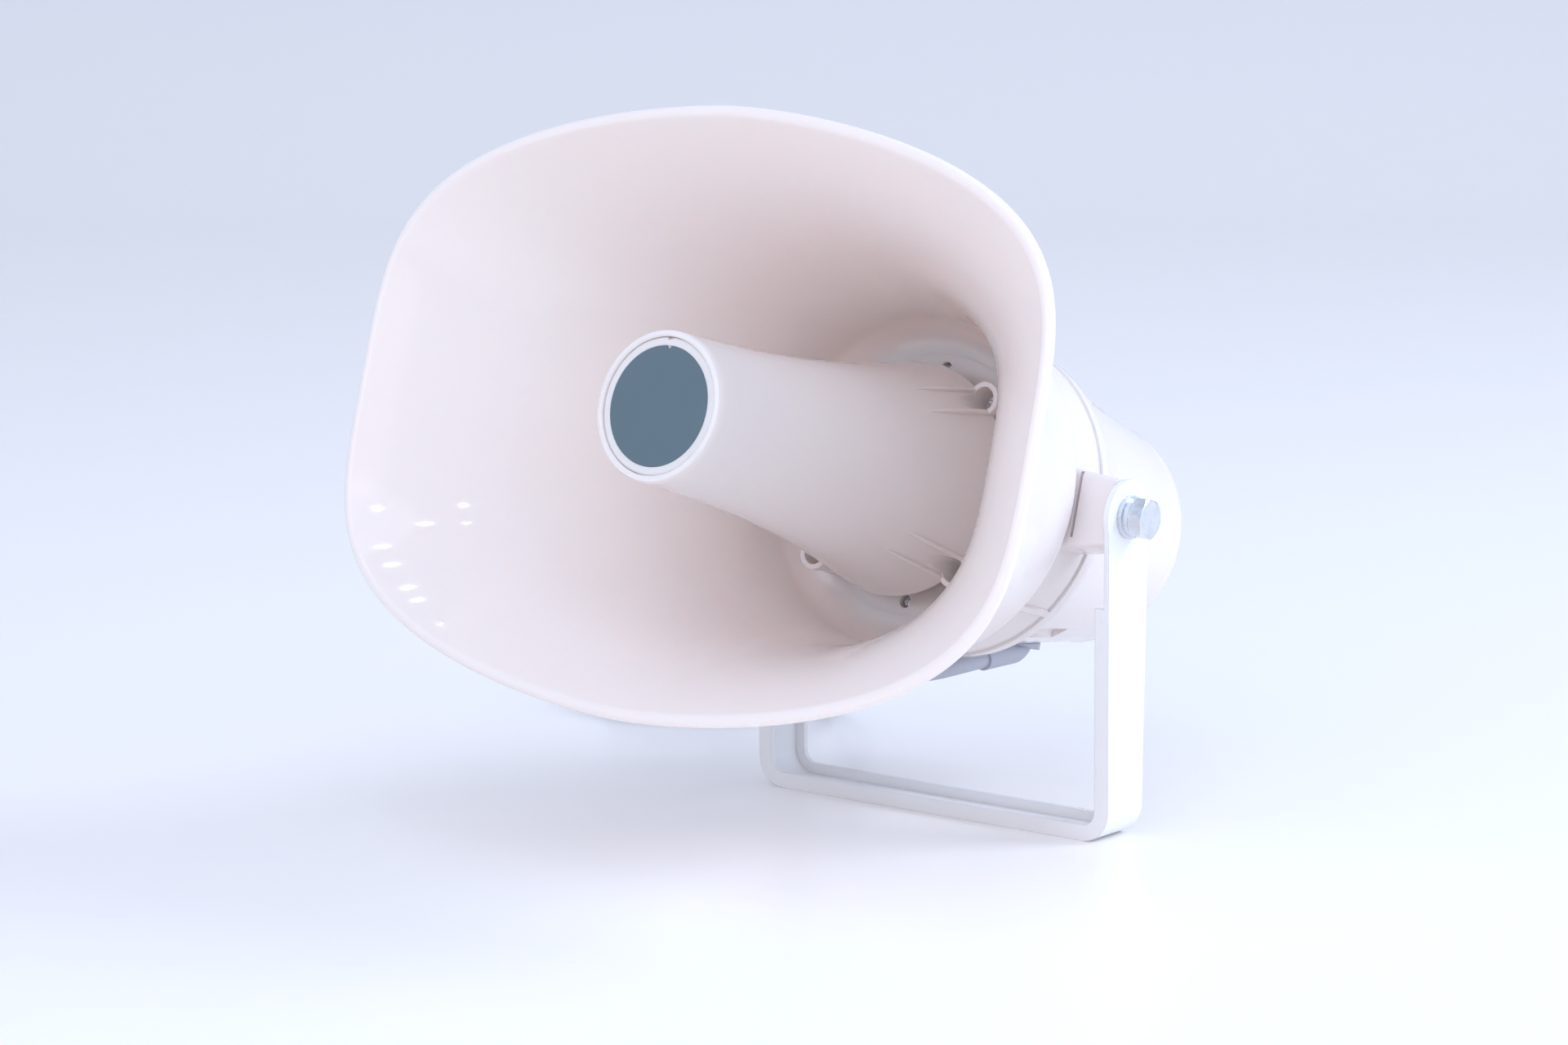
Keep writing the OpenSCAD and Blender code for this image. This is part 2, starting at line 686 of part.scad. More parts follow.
// A pocket is open outwards, so that its screw can be laid in
module rear_cover() {
  side = pocket_r - 0.1;
  color(plastic) in_horn() difference() {
    cover_form(0);
    cover_hollow();
    at_angles(cover_angles, cover_screw_ring) {
      disc(pocket_r, pocket_floor, pocket_floor - pocket_len);
      translate([0, -side, pocket_floor - pocket_len]) cube([cover_r, 2 * side, pocket_len]);
      disc(screw_hole_r, cover_front + 1, pocket_floor - 1);
    }
    boot_neck(boot_neck_r + seat);
  }
}

module cover_gasket() {
  color(silicone) in_horn() disc(collar_r, -collar_back, cover_front, hole = collar_r - collar_wall);
}

module cover_screws() {
  color(zinc) in_horn() at_angles(cover_angles, cover_screw_ring)
    translate([0, 0, pocket_floor]) rotate([180, 0, 0]) pan_screw(screw_r, 22, head_r, head_h);
}

// The boot that the lead leaves through, under the rear cover

boot_end = [-39, -55.3];                           // its tail's end: along the axis, and above it
boot_tail = 17.4;
boot_bend = 6;
boot_neck_r = 5;
boot_turn = 90 - tilt;
boot_heading = [sin(boot_turn), -cos(boot_turn)];
boot_pivot = boot_end - boot_tail * boot_heading + boot_bend * [cos(boot_turn), sin(boot_turn)];
boot_at = boot_pivot[0] - boot_bend;
boot_line = concat(
  [[0, boot_pivot[1] + 1, boot_at]],
  [for (i = [0:8]) let (a = boot_turn * i / 8)
    [0, boot_pivot[1] - boot_bend * sin(a), boot_pivot[0] - boot_bend * cos(a)]],
  [for (f = [0.5, 1]) let (p = boot_end - (1 - f) * boot_tail * boot_heading) [0, p[1], p[0]]]
);
boot_root_r = 5.4;
boot_taper = 1.2;
boot_radii = [for (i = [1:len(boot_line)]) boot_root_r - boot_taper * pow(i / len(boot_line), 1.5)];

module boot_neck(r) {
  translate([0, -cover_waist_r, boot_at]) rotate([-90, 0, 0]) cylinder(r = r, h = 13, $fn = 48);
}

module strain_relief() {
  color(grey_pvc) in_horn() {
    difference() {
      union() {
        skin(around(boot_line, boot_radii, 24));
        translate([0, boot_pivot[1] - 3, boot_at]) rotate([-90, 0, 0]) cylinder(r = 8, h = 4, $fn = 48);
      }
      cover_form(-seat);
    }
    intersection() {
      boot_neck(boot_neck_r);
      cover_form(-2 * seat);
    }
  }
}

// The compression driver

module driver_gasket() {
  color(rubber) in_horn() difference() {
    disc(driver_r, plate_rear, gasket_rear, hole = tone_r1 + 1);
    driver_screw_holes();
  }
}

module driver_screw_holes() {
  at_angles(quarter, driver_screw_ring) disc(screw_hole_r, neck_at, top_plate_rear - 1);
}

// Height of the dome's front face at a distance from the axis
function dome_z(r) = front_rear + dome_h * (1 - pow(r / dome_r, 2));

module driver_front() {
  color("#3a3d42") in_horn() difference() {
    rotate_extrude($fn = 96) polygon(concat(
      [[tone_r1, gasket_rear], [driver_r, gasket_rear], [driver_r, front_rear], [chamber_r, front_rear],
       [chamber_r, front_rear + dome_roof]],
      [for (f = [1:-0.25:0]) let (r = tone_r1 + f * (dome_r - tone_r1)) [r, dome_z(r) + dome_roof]]
    ));
    driver_screw_holes();
  }
}

module phase_plug() {
  plug_r = tone_r1 - 2.5;
  rear = dome_z(0) + dome_roof + slip;
  color("#3a3d42") in_horn() {
    rotate_extrude($fn = 72) polygon([
      [0, rear], [plug_r, rear], [plug_r, rear + 6], [plug_r * 0.8, rear + 11], [plug_r * 0.4, rear + 15],
      [0, rear + 16.5]
    ]);
    for (a = [30:120:270]) rotate([0, 0, a]) translate([plug_r - 1, -0.8, rear + 1])
      cube([tone_r1 - plug_r + 1 - 2 * seat, 1.6, gasket_rear - rear - 2]);
  }
}

module diaphragm_edge() {
  color("#c08a3e") in_horn() difference() {
    disc(top_plate_r, front_rear, edge_rear, hole = dome_r + 0.6);
    driver_screw_holes();
  }
}

module diaphragm_dome() {
  color("#d8dade") in_horn() rotate_extrude($fn = 72) polygon(concat(
    [for (f = [0:0.125:1]) [f * dome_r, dome_z(f * dome_r)]],
    [[dome_r, edge_rear], [coil_in - 0.2, edge_rear]],
    [for (f = [1:-0.125:0]) [f * (coil_in - 0.2), dome_z(f * coil_in) - dome_t]]
  ));
}

module voice_coil() {
  color("#b5651d") in_horn() disc(coil_out, edge_rear, edge_rear - coil_h, hole = coil_in);
}

module driver_spacer() {
  color("#b08d4a") in_horn() difference() {
    disc(top_plate_r, edge_rear, spacer_rear, hole = magnet_hole_r);
    driver_screw_holes();
  }
}

module top_plate() {
  color(zinc) in_horn() difference() {
    disc(top_plate_r, spacer_rear, top_plate_rear, hole = plate_hole_r);
    driver_screw_holes();
  }
}

module magnet() {
  color("#2f3033") in_horn() disc(magnet_r, top_plate_rear, magnet_rear, hole = magnet_hole_r);
}

module back_plate() {
  color(zinc) in_horn() difference() {
    union() {
      disc(magnet_r - 0.5, magnet_rear, back_rear);
      disc(pole_r, edge_rear - 1.5, magnet_rear - 1);
    }
    disc(4, 0, back_rear - 1);
    both_sides() translate([strap_screw_x, 0, 0]) disc(pilot_r, magnet_rear - 1, back_rear - 1);
  }
}

module driver_screws() {
  color(zinc) in_horn() at_angles(quarter, driver_screw_ring)
    translate([0, 0, top_plate_rear]) rotate([180, 0, 0])
      pan_screw(screw_r, neck_at - 0.5 - top_plate_rear, head_r, head_h);
}

// The line transformer

core_leg = 6;
centre_leg = 14;
winding_bulge = 5;
strap_screw_x = core_w / 2 + strap_t + 5.5;

module transformer_core() {
  window_w = core_w / 2 - core_leg - centre_leg / 2;
  color("#6e6259") in_horn() difference() {
    translate([-core_w / 2, -core_h / 2, core_rear]) cube([core_w, core_h, core_len]);
    both_sides() translate([centre_leg / 2, -core_h / 2 - 1, core_rear + core_leg])
      cube([window_w, core_h + 2, core_len - 2 * core_leg]);
  }
}

module transformer_winding() {
  w = core_w - 2 * core_leg - 2 * slip;
  h = core_h + 2 * winding_bulge;
  len = core_len - 2 * core_leg - 2 * slip;
  color("#c98f3b") in_horn() translate([0, 0, core_rear + core_leg + slip]) difference() {
    linear_extrude(len) {
      square([w, h - 6], center = true);
      square([w - 6, h], center = true);
      for (x = [-1, 1], y = [-1, 1]) translate([x * (w / 2 - 3), y * (h / 2 - 3)]) circle(3, $fn = 32);
    }
    translate([-centre_leg / 2 - slip, -core_h / 2 - slip, -1])
      cube([centre_leg + 2 * slip, core_h + 2 * slip, len + 2]);
  }
}

module transformer_strap() {
  w = 12;
  foot = 11;
  outer_w = core_w + 2 * (strap_t + seat);
  color(zinc) in_horn() difference() {
    translate([0, -w / 2, 0]) {
      translate([-outer_w / 2, 0, strap_rear]) cube([outer_w, w, strap_t]);
      both_sides() {
        translate([core_w / 2 + seat, 0, strap_rear]) cube([strap_t, w, back_rear - strap_rear]);
        translate([core_w / 2 + seat, 0, back_rear - strap_t]) cube([foot, w, strap_t]);
      }
    }
    both_sides() translate([strap_screw_x, 0, 0])
      disc(screw_hole_r, back_rear + 1, back_rear - strap_t - 1);
  }
}

module strap_screws() {
  color(zinc) in_horn() both_sides() translate([strap_screw_x, 0, back_rear - strap_t])
    rotate([180, 0, 0]) pan_screw(screw_r, back_plate_t + strap_t - 1, head_r * 0.9, head_h);
}

strip_t = 1.6;
strip_w = 12;
tab_pitch = 10;
tab_t = 0.8;

module terminal_strip() {
  color("#8a5a33") in_horn() translate([-core_w / 2, -strip_w / 2, strap_rear - strip_t])
    cube([core_w, strip_w, strip_t]);
}

module terminal_tabs() {
  color("#b08d4a") in_horn() for (i = [-1.5:1:1.5])
    translate([i * tab_pitch, 0, strap_rear - strip_t]) difference() {
      union() {
        translate([-2.5, -3, -tab_t]) cube([5, 6, tab_t]);
        translate([-2, -tab_t / 2, -8]) cube([4, tab_t, 8]);
      }
      translate([0, 3, -5.5]) rotate([90, 0, 0]) cylinder(r = 1, h = 6, $fn = 24);
    }
}

// The bracket: a U of steel strip with both edges folded inwards

bracket_top_d = bracket_d + 3.5;

// The U seen from the front, inset from its outer surface
module u_front(inset, top) {
  half = bracket_w / 2 - inset;
  r = bend_r - inset;
  translate([-half, inset + r]) square([2 * half, top - inset - r]);
  translate([r - half, inset]) square([2 * (half - r), top - inset]);
  for (x = [r - half, half - r]) translate([x, inset + r]) circle(r, $fn = 64);
}

// The bracket's outline seen from the side, inset from its edges
module side_outline(inset) {
  low = bracket_d / 2 - inset;
  high = bracket_top_d / 2 - inset;
  polygon([[-low, -1], [low, -1], [high, pivot_h], [-high, pivot_h]]);
  translate([0, pivot_h]) circle(arm_end_r - inset, $fn = 64);
}

module front_extruded() {
  rotate([90, 0, 0]) linear_extrude(4 * bracket_d, center = true) children();
}

module side_extruded() {
  rotate([90, 0, 90]) linear_extrude(2 * bracket_w, center = true) children();
}

module bracket() {
  arm_top = pivot_h + arm_end_r + 1;
  flange_top = pivot_h - flange_drop;
  color(bracket_paint) difference() {
    union() {
      intersection() {
        front_extruded() difference() {
          u_front(0, arm_top);
          u_front(sheet_t, arm_top + 1);
        }
        side_extruded() side_outline(0);
      }
      intersection() {
        front_extruded() difference() {
          u_front(0, flange_top);
          u_front(flange_h, flange_top + 1);
        }
        side_extruded() difference() {
          side_outline(0);
          side_outline(sheet_t);
        }
      }
    }
    translate([-bracket_w, 0, pivot_h]) rotate([0, 90, 0])
      cylinder(r = bolt_r + bolt_clear, h = 2 * bracket_w, $fn = 48);
    for (x = [-1:1]) translate([x * base_hole_span / 2, 0, -1])
      cylinder(r = base_hole_r, h = sheet_t + 2, $fn = 48);
  }
}

// The lead, its coil and the tie round it

reverse_turn = coil_turns / 2;
climb_turns = 0.5;
coil_z = lead_d / 2 + tie_slack + tie_t;
function ramp(f) = let (g = min(max(f, 0), 1)) g * g * (3 - 2 * g);
function loop_r(turn) = coil_r - coil_side * (reverse_turn - abs(turn - reverse_turn));
function loop_z(turn) = coil_z + coil_rise * ramp((turn - reverse_turn) / climb_turns + 0.5);
lead_end = lead_path[len(lead_path) - 1];
lead_way = unit(lead_end - lead_path[len(lead_path) - 2]);
coil_start = atan2(-lead_way[0], lead_way[1]);     // angle where the first turn starts
coil_centre = [
  lead_end[0] + lead_d * lead_way[0] - coil_r * cos(coil_start),
  lead_end[1] + lead_d * lead_way[1] - coil_r * sin(coil_start)
];
function loop_point(turn) = let (a = coil_start + 360 * turn, r = loop_r(turn))
  [coil_centre[0] + r * cos(a), coil_centre[1] + r * sin(a), loop_z(turn)];
loop_count = round(coil_turns * coil_steps);
loops = [for (i = [0:loop_count]) loop_point(i / coil_steps)];
coil_path = concat([loops[0] - lead_d * lead_way], loops);

// Least gap between the coil's turns, from every pair of points over a third of a turn apart
coil_gap_least = min([for (i = [0:loop_count], j = [0:loop_count])
  if (j > i + coil_steps / 3) norm(loops[i] - loops[j])]) - lead_d;
echo(least_gap_in_coil = coil_gap_least);

module lead() {
  color(grey_pvc) skin(around(lead_path, lead_d / 2, 10));
}

module lead_coil() {
  color(grey_pvc) skin(around(coil_path, lead_d / 2, 6));
}

module lead_tie() {
  r = lead_d / 2 + tie_slack;
  color(rubber) translate([coil_centre[0], coil_centre[1], 0]) rotate([0, 0, coil_start + 360 * tie_turn])
    translate([loop_r(tie_turn), 0, coil_z]) rotate([90, 0, 0]) linear_extrude(tie_w, center = true)
      difference() {
        tie_outline(r + tie_t);
        tie_outline(r);
      }
}

module tie_outline(r) {
  translate([-r, 0]) square([2 * r, coil_rise]);
  for (y = [0, coil_rise]) translate([0, y]) circle(r, $fn = 48);
}

// The two cores at the coil's end, drooping to their stripped tips, a point every 4 mm
core_start = loops[loop_count];
core_way = unit(core_start - loops[loop_count - 1]);
core_side = unit(cross(core_way, [0, 0, 1]));
function droop(d) = 0.02 * pow(max(0, min(d, 12) - 4), 2) + 0.24 * max(0, d - 12);
function core_line(side, from, to) = [for (i = [from:to]) let (d = 4 * i)
  core_start + d * core_way + side * (core_r + seat + 0.05 * max(0, d - 4)) * core_side - [0, 0, droop(d)]];

module lead_cores() {
  color("#3d3f45") skin(around(core_line(1, 0, 4), core_r, 8));
  color("#b5302a") skin(around(core_line(-1, 0, 4), core_r, 8));
}

module lead_strands() {
  color("#c17a4a") for (side = [-1, 1]) skin(around(core_line(side, 4, 6), strand_r, 8));
}

bracket();
horn_flare();
throat_plate();
reflex_bell();
bell_screws();
tip_cap();
label_disc();
throat_tube();
plate_screws();
mount_collar();
lug_inserts();
tilt_bolts();
spring_washers();
flat_washers();
rear_cover();
cover_gasket();
cover_screws();
driver_gasket();
driver_front();
phase_plug();
diaphragm_edge();
diaphragm_dome();
voice_coil();
driver_spacer();
top_plate();
magnet();
back_plate();
driver_screws();
transformer_core();
transformer_winding();
transformer_strap();
strap_screws();
terminal_strip();
terminal_tabs();
strain_relief();
lead();
lead_coil();
lead_tie();
lead_cores();
lead_strands();
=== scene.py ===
"""The looks of a public address horn speaker on its bracket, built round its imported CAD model.

Everything is in metres, in the CAD model's frame: X runs along the tilt bolts, the mouth faces -Y, Z is up.
"""

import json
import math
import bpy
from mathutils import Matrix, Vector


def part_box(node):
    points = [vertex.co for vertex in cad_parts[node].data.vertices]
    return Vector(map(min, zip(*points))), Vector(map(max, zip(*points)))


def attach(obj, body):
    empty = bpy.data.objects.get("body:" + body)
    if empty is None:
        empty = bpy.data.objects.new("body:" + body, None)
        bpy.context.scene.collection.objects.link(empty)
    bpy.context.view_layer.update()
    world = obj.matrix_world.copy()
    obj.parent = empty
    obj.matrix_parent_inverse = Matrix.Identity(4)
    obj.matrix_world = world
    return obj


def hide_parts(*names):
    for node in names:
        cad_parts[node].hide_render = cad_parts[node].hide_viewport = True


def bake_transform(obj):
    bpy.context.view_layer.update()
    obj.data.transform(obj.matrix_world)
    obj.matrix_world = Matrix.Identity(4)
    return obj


bl_info = {
    "name": "Horn Speaker",
    "version": (1, 0, 0),
    "blender": (4, 5, 0),
    "location": "3D View > Sidebar > Horn Speaker",
    "description": "Dresses a public address horn speaker with its materials, lead, lights and camera",
    "category": "Object",
}

import bmesh
import bpy
import numpy as np
from mathutils import Matrix, Vector

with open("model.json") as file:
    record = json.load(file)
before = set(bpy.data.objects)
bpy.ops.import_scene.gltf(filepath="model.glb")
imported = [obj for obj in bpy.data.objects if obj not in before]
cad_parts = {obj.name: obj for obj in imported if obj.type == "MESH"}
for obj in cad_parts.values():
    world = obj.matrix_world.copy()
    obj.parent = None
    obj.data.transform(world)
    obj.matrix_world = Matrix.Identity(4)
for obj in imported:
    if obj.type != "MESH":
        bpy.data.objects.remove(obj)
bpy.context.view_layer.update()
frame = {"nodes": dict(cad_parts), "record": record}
MM = 0.001

# Where the horn's own frame lies: its axis is Z, out of the mouth, and Y is up
TILT = math.radians(16.6)
PIVOT_H = 114 * MM
AXIS_RISE = 1.5 * MM
HORN = (
    Matrix.Translation((0, 0, PIVOT_H))
    @ Matrix.Rotation(math.pi / 2 - TILT, 4, "X")
    @ Matrix.Translation((0, AXIS_RISE, 0))
)

# The lead's route from its boot to its coil, in millimetres, as in the part's source
LEAD_ROUTE = [
    (0, 22, 51.3), (0, 8, 51.3), (0, -6, 51.5), (-2.4, -17.9, 51.8), (-9.1, -27.9, 52), (-19.1, -34.6, 51.9),
    (-31, -37, 51.3), (-42.9, -34.6, 50.2), (-52.9, -27.9, 48.6), (-59.6, -17.9, 46.2), (-62, -6, 43.2),
    (-63, 5.5, 39.8), (-64.8, 17, 36.4), (-67.7, 28.8, 32.8), (-72.4, 40.5, 29.5), (-79.5, 53.5, 25.5),
    (-88.5, 65, 21), (-98, 76, 16.5), (-108.5, 86, 12), (-119.5, 95, 8), (-131, 103.5, 5.2),
    (-142.1, 111.8, 4.4), (-152.5, 119.6, 4.4),
]
# The coil's turns, and the gaps in millimetres between turns that lie beside and on each other
COIL_TURNS = 2.7
COIL_GAP = 0.7
COIL_RISE_GAP = 0.6

# The camera that the photograph was taken with: lens and sensor in millimetres, angles in radians
CAMERA_PLACE = (0.8678, -1.1954, 0.3476)
CAMERA_TURN = 0.6673
CAMERA_PITCH = 0.1634
CAMERA_LENS = 96.56
SENSOR_WIDTH = 36

# The daylight's colour, the world's strength, and how far the stage is lifted where it is seen
DAYLIGHT = "#dae8ff"
WORLD_STRENGTH = 0.84
STAGE_LIFT = 0.07

# The lamps face this point on the speaker
LAMPS_AIM = (0, 0, 0.12)
# The soft lamps and the small ceiling lamps: place, diameter, power and colour
WIDE_SPOT = (0.02, 0.7, DAYLIGHT)
FINE_SPOT = (0.014, 0.3, DAYLIGHT)
LAMPS = {
    "key_light": ((1.9, -0.7, 1.5), 1.5, 3, DAYLIGHT),
    "high_light": ((0.2, -1.9, 1.8), 2.4, 13, DAYLIGHT),
    "front_light": ((0.4, -2.1, 0.9), 2.0, 8, "#ffdfca"),
    "rear_light": ((1.6, 1.2, 1.6), 1.2, 27, DAYLIGHT),
    "low_light": ((1.7, 0.5, 0.35), 1.2, 8, DAYLIGHT),
    "spot_1": ((1.28, -1.06, 1.55), *WIDE_SPOT),
    "spot_2": ((0.91, -1.06, 1.83), *WIDE_SPOT),
    "spot_3": ((0.15, -0.63, 2.23), *WIDE_SPOT),
    "spot_4": ((-0.23, -0.21, 2.29), *WIDE_SPOT),
    "spot_5": ((0.44, -0.95, 2.08), *WIDE_SPOT),
    "spot_6": ((0.91, -1.44, 1.57), *FINE_SPOT),
    "spot_7": ((-0.43, 0.0, 2.26), *FINE_SPOT),
    "spot_8": ((-0.74, 0.35, 2.12), *FINE_SPOT),
    "spot_9": ((1.06, -0.84, 1.84), *FINE_SPOT),
}


# Colours


def linear(hex_colour):
    """An sRGB colour written as #rrggbb, as Blender's linear red, green and blue."""
    parts = [int(hex_colour[i : i + 2], 16) / 255 for i in (1, 3, 5)]
    return [c / 12.92 if c <= 0.04045 else ((c + 0.055) / 1.055) ** 2.4 for c in parts]


def rgba(hex_colour):
    """The same with full alpha, as a node's colour input takes it."""
    return (*linear(hex_colour), 1)


def shade(base, factor):
    """A linear colour multiplied by a factor for each of its three parts, with full alpha."""
    return (*[min(1, c * f) for c, f in zip(base, factor)], 1)


# The sizes and colours that a user would change


def length(name, description, default):
    """A property for one size."""
    return bpy.props.FloatProperty(
        name=name, description=description, default=default, min=0, unit="LENGTH", precision=4
    )


def colour(name, description, default):
    """A property for one colour, whose default is an sRGB hex value."""
    return bpy.props.FloatVectorProperty(
        name=name, description=description, default=linear(default), size=3, min=0, max=1, subtype="COLOR"
    )


class HornSizes(bpy.types.PropertyGroup):
    mouth_w: length("Mouth width", "Full width of the mouth over its rim", 0.285)
    mouth_h: length("Mouth height", "Full height of the mouth over its rim", 0.205)
    throat_r: length("Throat radius", "Radius of the bowl at its floor", 0.0575)
    bowl_at: length("Bowl floor", "Distance of the bowl's floor ahead of the tilt bolts", 0.0141)
    mouth_at: length("Mouth reach", "Distance of the mouth ahead of the tilt bolts", 0.1595)
    rim: length("Rim thickness", "Thickness of the rounded rim", 0.004)
    lead_d: length("Lead thickness", "Diameter of the grey lead", 0.0065)
    coil_r: length("Coil radius", "Largest radius of the coiled lead", 0.042)


class HornColours(bpy.types.PropertyGroup):
    shell: colour("Shell", "Moulded warm white plastic of the horn", "#f7ece8")
    bracket: colour("Bracket", "White paint of the bracket", "#f9f8f8")
    label: colour("Label", "Teal grey of the blank label", "#5d717a")
    lead: colour("Lead", "Grey of the lead's sheath", "#b8bac4")
    floor: colour("Floor", "Pale floor under the speaker", "#f9f4ef")
    wall: colour("Backdrop", "Pale backdrop behind the speaker", "#dad4d7")


def sizes():
    """The sizes as they stand in the scene."""
    return bpy.context.scene.horn_sizes


def colours():
    """The colours as they stand in the scene."""
    return bpy.context.scene.horn_colours


# Building blocks


def add(tree, kind, settings=None, links=None):
    """Adds a node. settings are its properties, links its inputs by name or number.

    An input gets a value, a socket or a node, which gives its first output.
    """
    node = tree.nodes.new(kind)
    for key, value in (settings or {}).items():
        setattr(node, key, value)
    for key, value in (links or {}).items():
        if isinstance(value, bpy.types.Node):
            value = value.outputs[0]
        if isinstance(value, bpy.types.NodeSocket):
            tree.links.new(value, node.inputs[key])
        else:
            node.inputs[key].default_value = value
    return node


def new_tree(name, sockets):
    """A geometry tree with a geometry input and output and the named inputs given, and its input sockets."""
    tree = bpy.data.node_groups.new(name, "GeometryNodeTree")
    tree.interface.new_socket("Geometry", in_out="INPUT", socket_type="NodeSocketGeometry")
    for label, kind in sockets.items():
        tree.interface.new_socket(label, in_out="INPUT", socket_type=kind)
    tree.interface.new_socket("Geometry", in_out="OUTPUT", socket_type="NodeSocketGeometry")
    return tree, add(tree, "NodeGroupInput").outputs


def grown(obj, tree, inputs, name):
    """Runs a geometry tree on an object and returns the result as a plain mesh object."""
    modifier = obj.modifiers.new("shape", "NODES")
    modifier.node_group = tree
    sockets = {s.name: s.identifier for s in tree.interface.items_tree if s.in_out == "INPUT"}
    for key, value in inputs.items():
        modifier[sockets[key]] = value
    shown = obj.evaluated_get(bpy.context.evaluated_depsgraph_get())
    mesh = bpy.data.meshes.new_from_object(shown)
    mesh.name = name
    obj.modifiers.clear()
    bpy.data.objects.remove(obj)
    return object_from(name, mesh)


def object_from(name, data):
    """An object in the scene that holds the given mesh, curve, lamp or camera."""
    obj = bpy.data.objects.new(name, data)
    bpy.context.scene.collection.objects.link(obj)
    return obj


def smoothed(mesh, angle):
    """Shades a mesh smooth, with a crease at each edge sharper than the angle in degrees."""
    mesh.shade_smooth()
    mesh.set_sharp_from_angle(angle=math.radians(angle))


def body_of_node(node):
    """The body that a CAD node rides on."""
    for body, members in frame["record"]["behaviour"]["bodies"].items():
        if node in members:
            return body
    raise ValueError(f"no body holds {node}")


def rounded_copy(node, name, material, angle=32):
    """A smooth-shaded copy of a CAD node's mesh with its loose triangles merged, in place of the node."""
    mesh = frame["nodes"][node].data.copy()
    mesh.name = name
    bm = bmesh.new()
    bm.from_mesh(mesh)
    bmesh.ops.remove_doubles(bm, verts=bm.verts, dist=0.002 * MM)
    bm.to_mesh(mesh)
    bm.free()
    if "custom_normal" in mesh.attributes:
        mesh.attributes.remove(mesh.attributes["custom_normal"])
    smoothed(mesh, angle)
    mesh.materials.clear()
    mesh.materials.append(material)
    obj = object_from(name, mesh)
    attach(obj, body_of_node(node))
    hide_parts(node)
    return obj


def finish_node(node, material):
    """Gives a CAD node that keeps its own mesh its material."""
    obj = frame["nodes"][node]
    if not obj.material_slots:
        obj.data.materials.append(material)
    for held in obj.material_slots:
        held.material = material


# Materials


def finish(
    name, dark, light, patch, rough, dull_patch, bump_patch, bump, edge=0.3, stretch=(1, 1, 1), settings=None
):
    """A finish of two near colours in soft patches, with duller patches and a fine relief over rounded edges.

    patch, dull_patch, bump_patch, bump and edge are lengths in millimetres, stretch multiplies the patterns'
    scale along X, Y and Z, rough is the least and the greatest roughness, and settings go to the shader by
    socket name.
    """
    held = bpy.data.materials.get(name)
    if held:
        return held
    material = bpy.data.materials.new(name)
    material.use_nodes = True
    tree = material.node_tree
    tree.nodes.clear()
    place = add(tree, "ShaderNodeTexCoord").outputs["Object"]
    if stretch != (1, 1, 1):
        place = add(tree, "ShaderNodeMapping", links={"Vector": place, "Scale": stretch})
    tone, gloss, relief = (
        add(tree, "ShaderNodeTexNoise", links={"Vector": place, "Scale": 1 / (size * MM), "Detail": detail})
        for size, detail in ((patch, 3.0), (dull_patch, 3.0), (bump_patch, 1.0))
    )
    tones = add(tree, "ShaderNodeMix", {"data_type": "RGBA", "name": "tones"}, {0: tone, 6: dark, 7: light})
    # nearly all of the noise lies between 0.3 and 0.7
    shine = add(tree, "ShaderNodeMapRange", links={0: gloss, 1: 0.3, 2: 0.7, 3: rough[0], 4: rough[1]})
    rounded = add(tree, "ShaderNodeBevel", {"samples": 6}, {"Radius": edge * MM})
    bumps = add(tree, "ShaderNodeBump", links={"Height": relief, "Distance": bump * MM, "Normal": rounded})
    shader = add(tree, "ShaderNodeBsdfPrincipled", {"name": "finish"}, {
        "Base Color": tones.outputs[2], "Roughness": shine, "Normal": bumps, **(settings or {}),
    })
    add(tree, "ShaderNodeOutputMaterial", links={"Surface": shader})
    return material


def moulded_abs(name, rough, glow=0.06):
    """Injection-moulded ABS: warm white, with moulding flow in patches 60 mm across and a skin of 5 mm waves.

    glow is the share of light that goes through the plastic, more in thin walls. It spreads 8 mm in red, and
    less in green and blue, so that it comes out warm.
    """
    base = colours().shell
    return finish(
        name, shade(base, (0.988, 0.98, 0.976)), shade(base, (1, 1, 1)), patch=60,
        rough=(rough * 0.85, rough * 1.25), dull_patch=14, bump_patch=5, bump=0.012, edge=0.5,
        settings={
            "IOR": 1.54, "Subsurface Weight": glow, "Subsurface Radius": (0.008, 0.0042, 0.0034),
            "Subsurface Scale": 1.0,
        },
    )


def gloss_abs():
    """ABS from a polished tool: a clear gloss, so that lamps show in it as small bright spots."""
    return moulded_abs("gloss_abs_warm_white", 0.06)


def thin_abs():
    """The same glossy ABS in walls of 2 to 3 mm, which let some light through and so glow warm."""
    return moulded_abs("thin_gloss_abs_warm_white", 0.06, 0.35)


def satin_abs():
    """The same ABS from a spark-eroded tool: the fine dull skin of hidden faces."""
    return moulded_abs("satin_abs_warm_white", 0.3)


def powder_coat():
    """Polyester powder coat on steel: cool white, an even semi-gloss with orange peel 1.6 mm across."""
    base = colours().bracket
    return finish(
        "powder_coat_cool_white", shade(base, (0.99, 0.992, 0.995)), shade(base, (1, 1, 1)), patch=40,
        rough=(0.27, 0.33), dull_patch=11, bump_patch=1.6, bump=0.012, edge=0.6,
        settings={"IOR": 1.5, "Coat Weight": 0.2, "Coat Roughness": 0.12},
    )


def zinc_plate():
    """Bright zinc plate on steel: grey white metal with drawn streaks and small dull spots."""
    return finish(
        "bright_zinc_plate", rgba("#cfd1d6"), rgba("#eceef1"), patch=4, rough=(0.22, 0.38), dull_patch=2,
        bump_patch=1.1, bump=0.006, stretch=(0.2, 1, 1), settings={"Metallic": 1.0},
    )


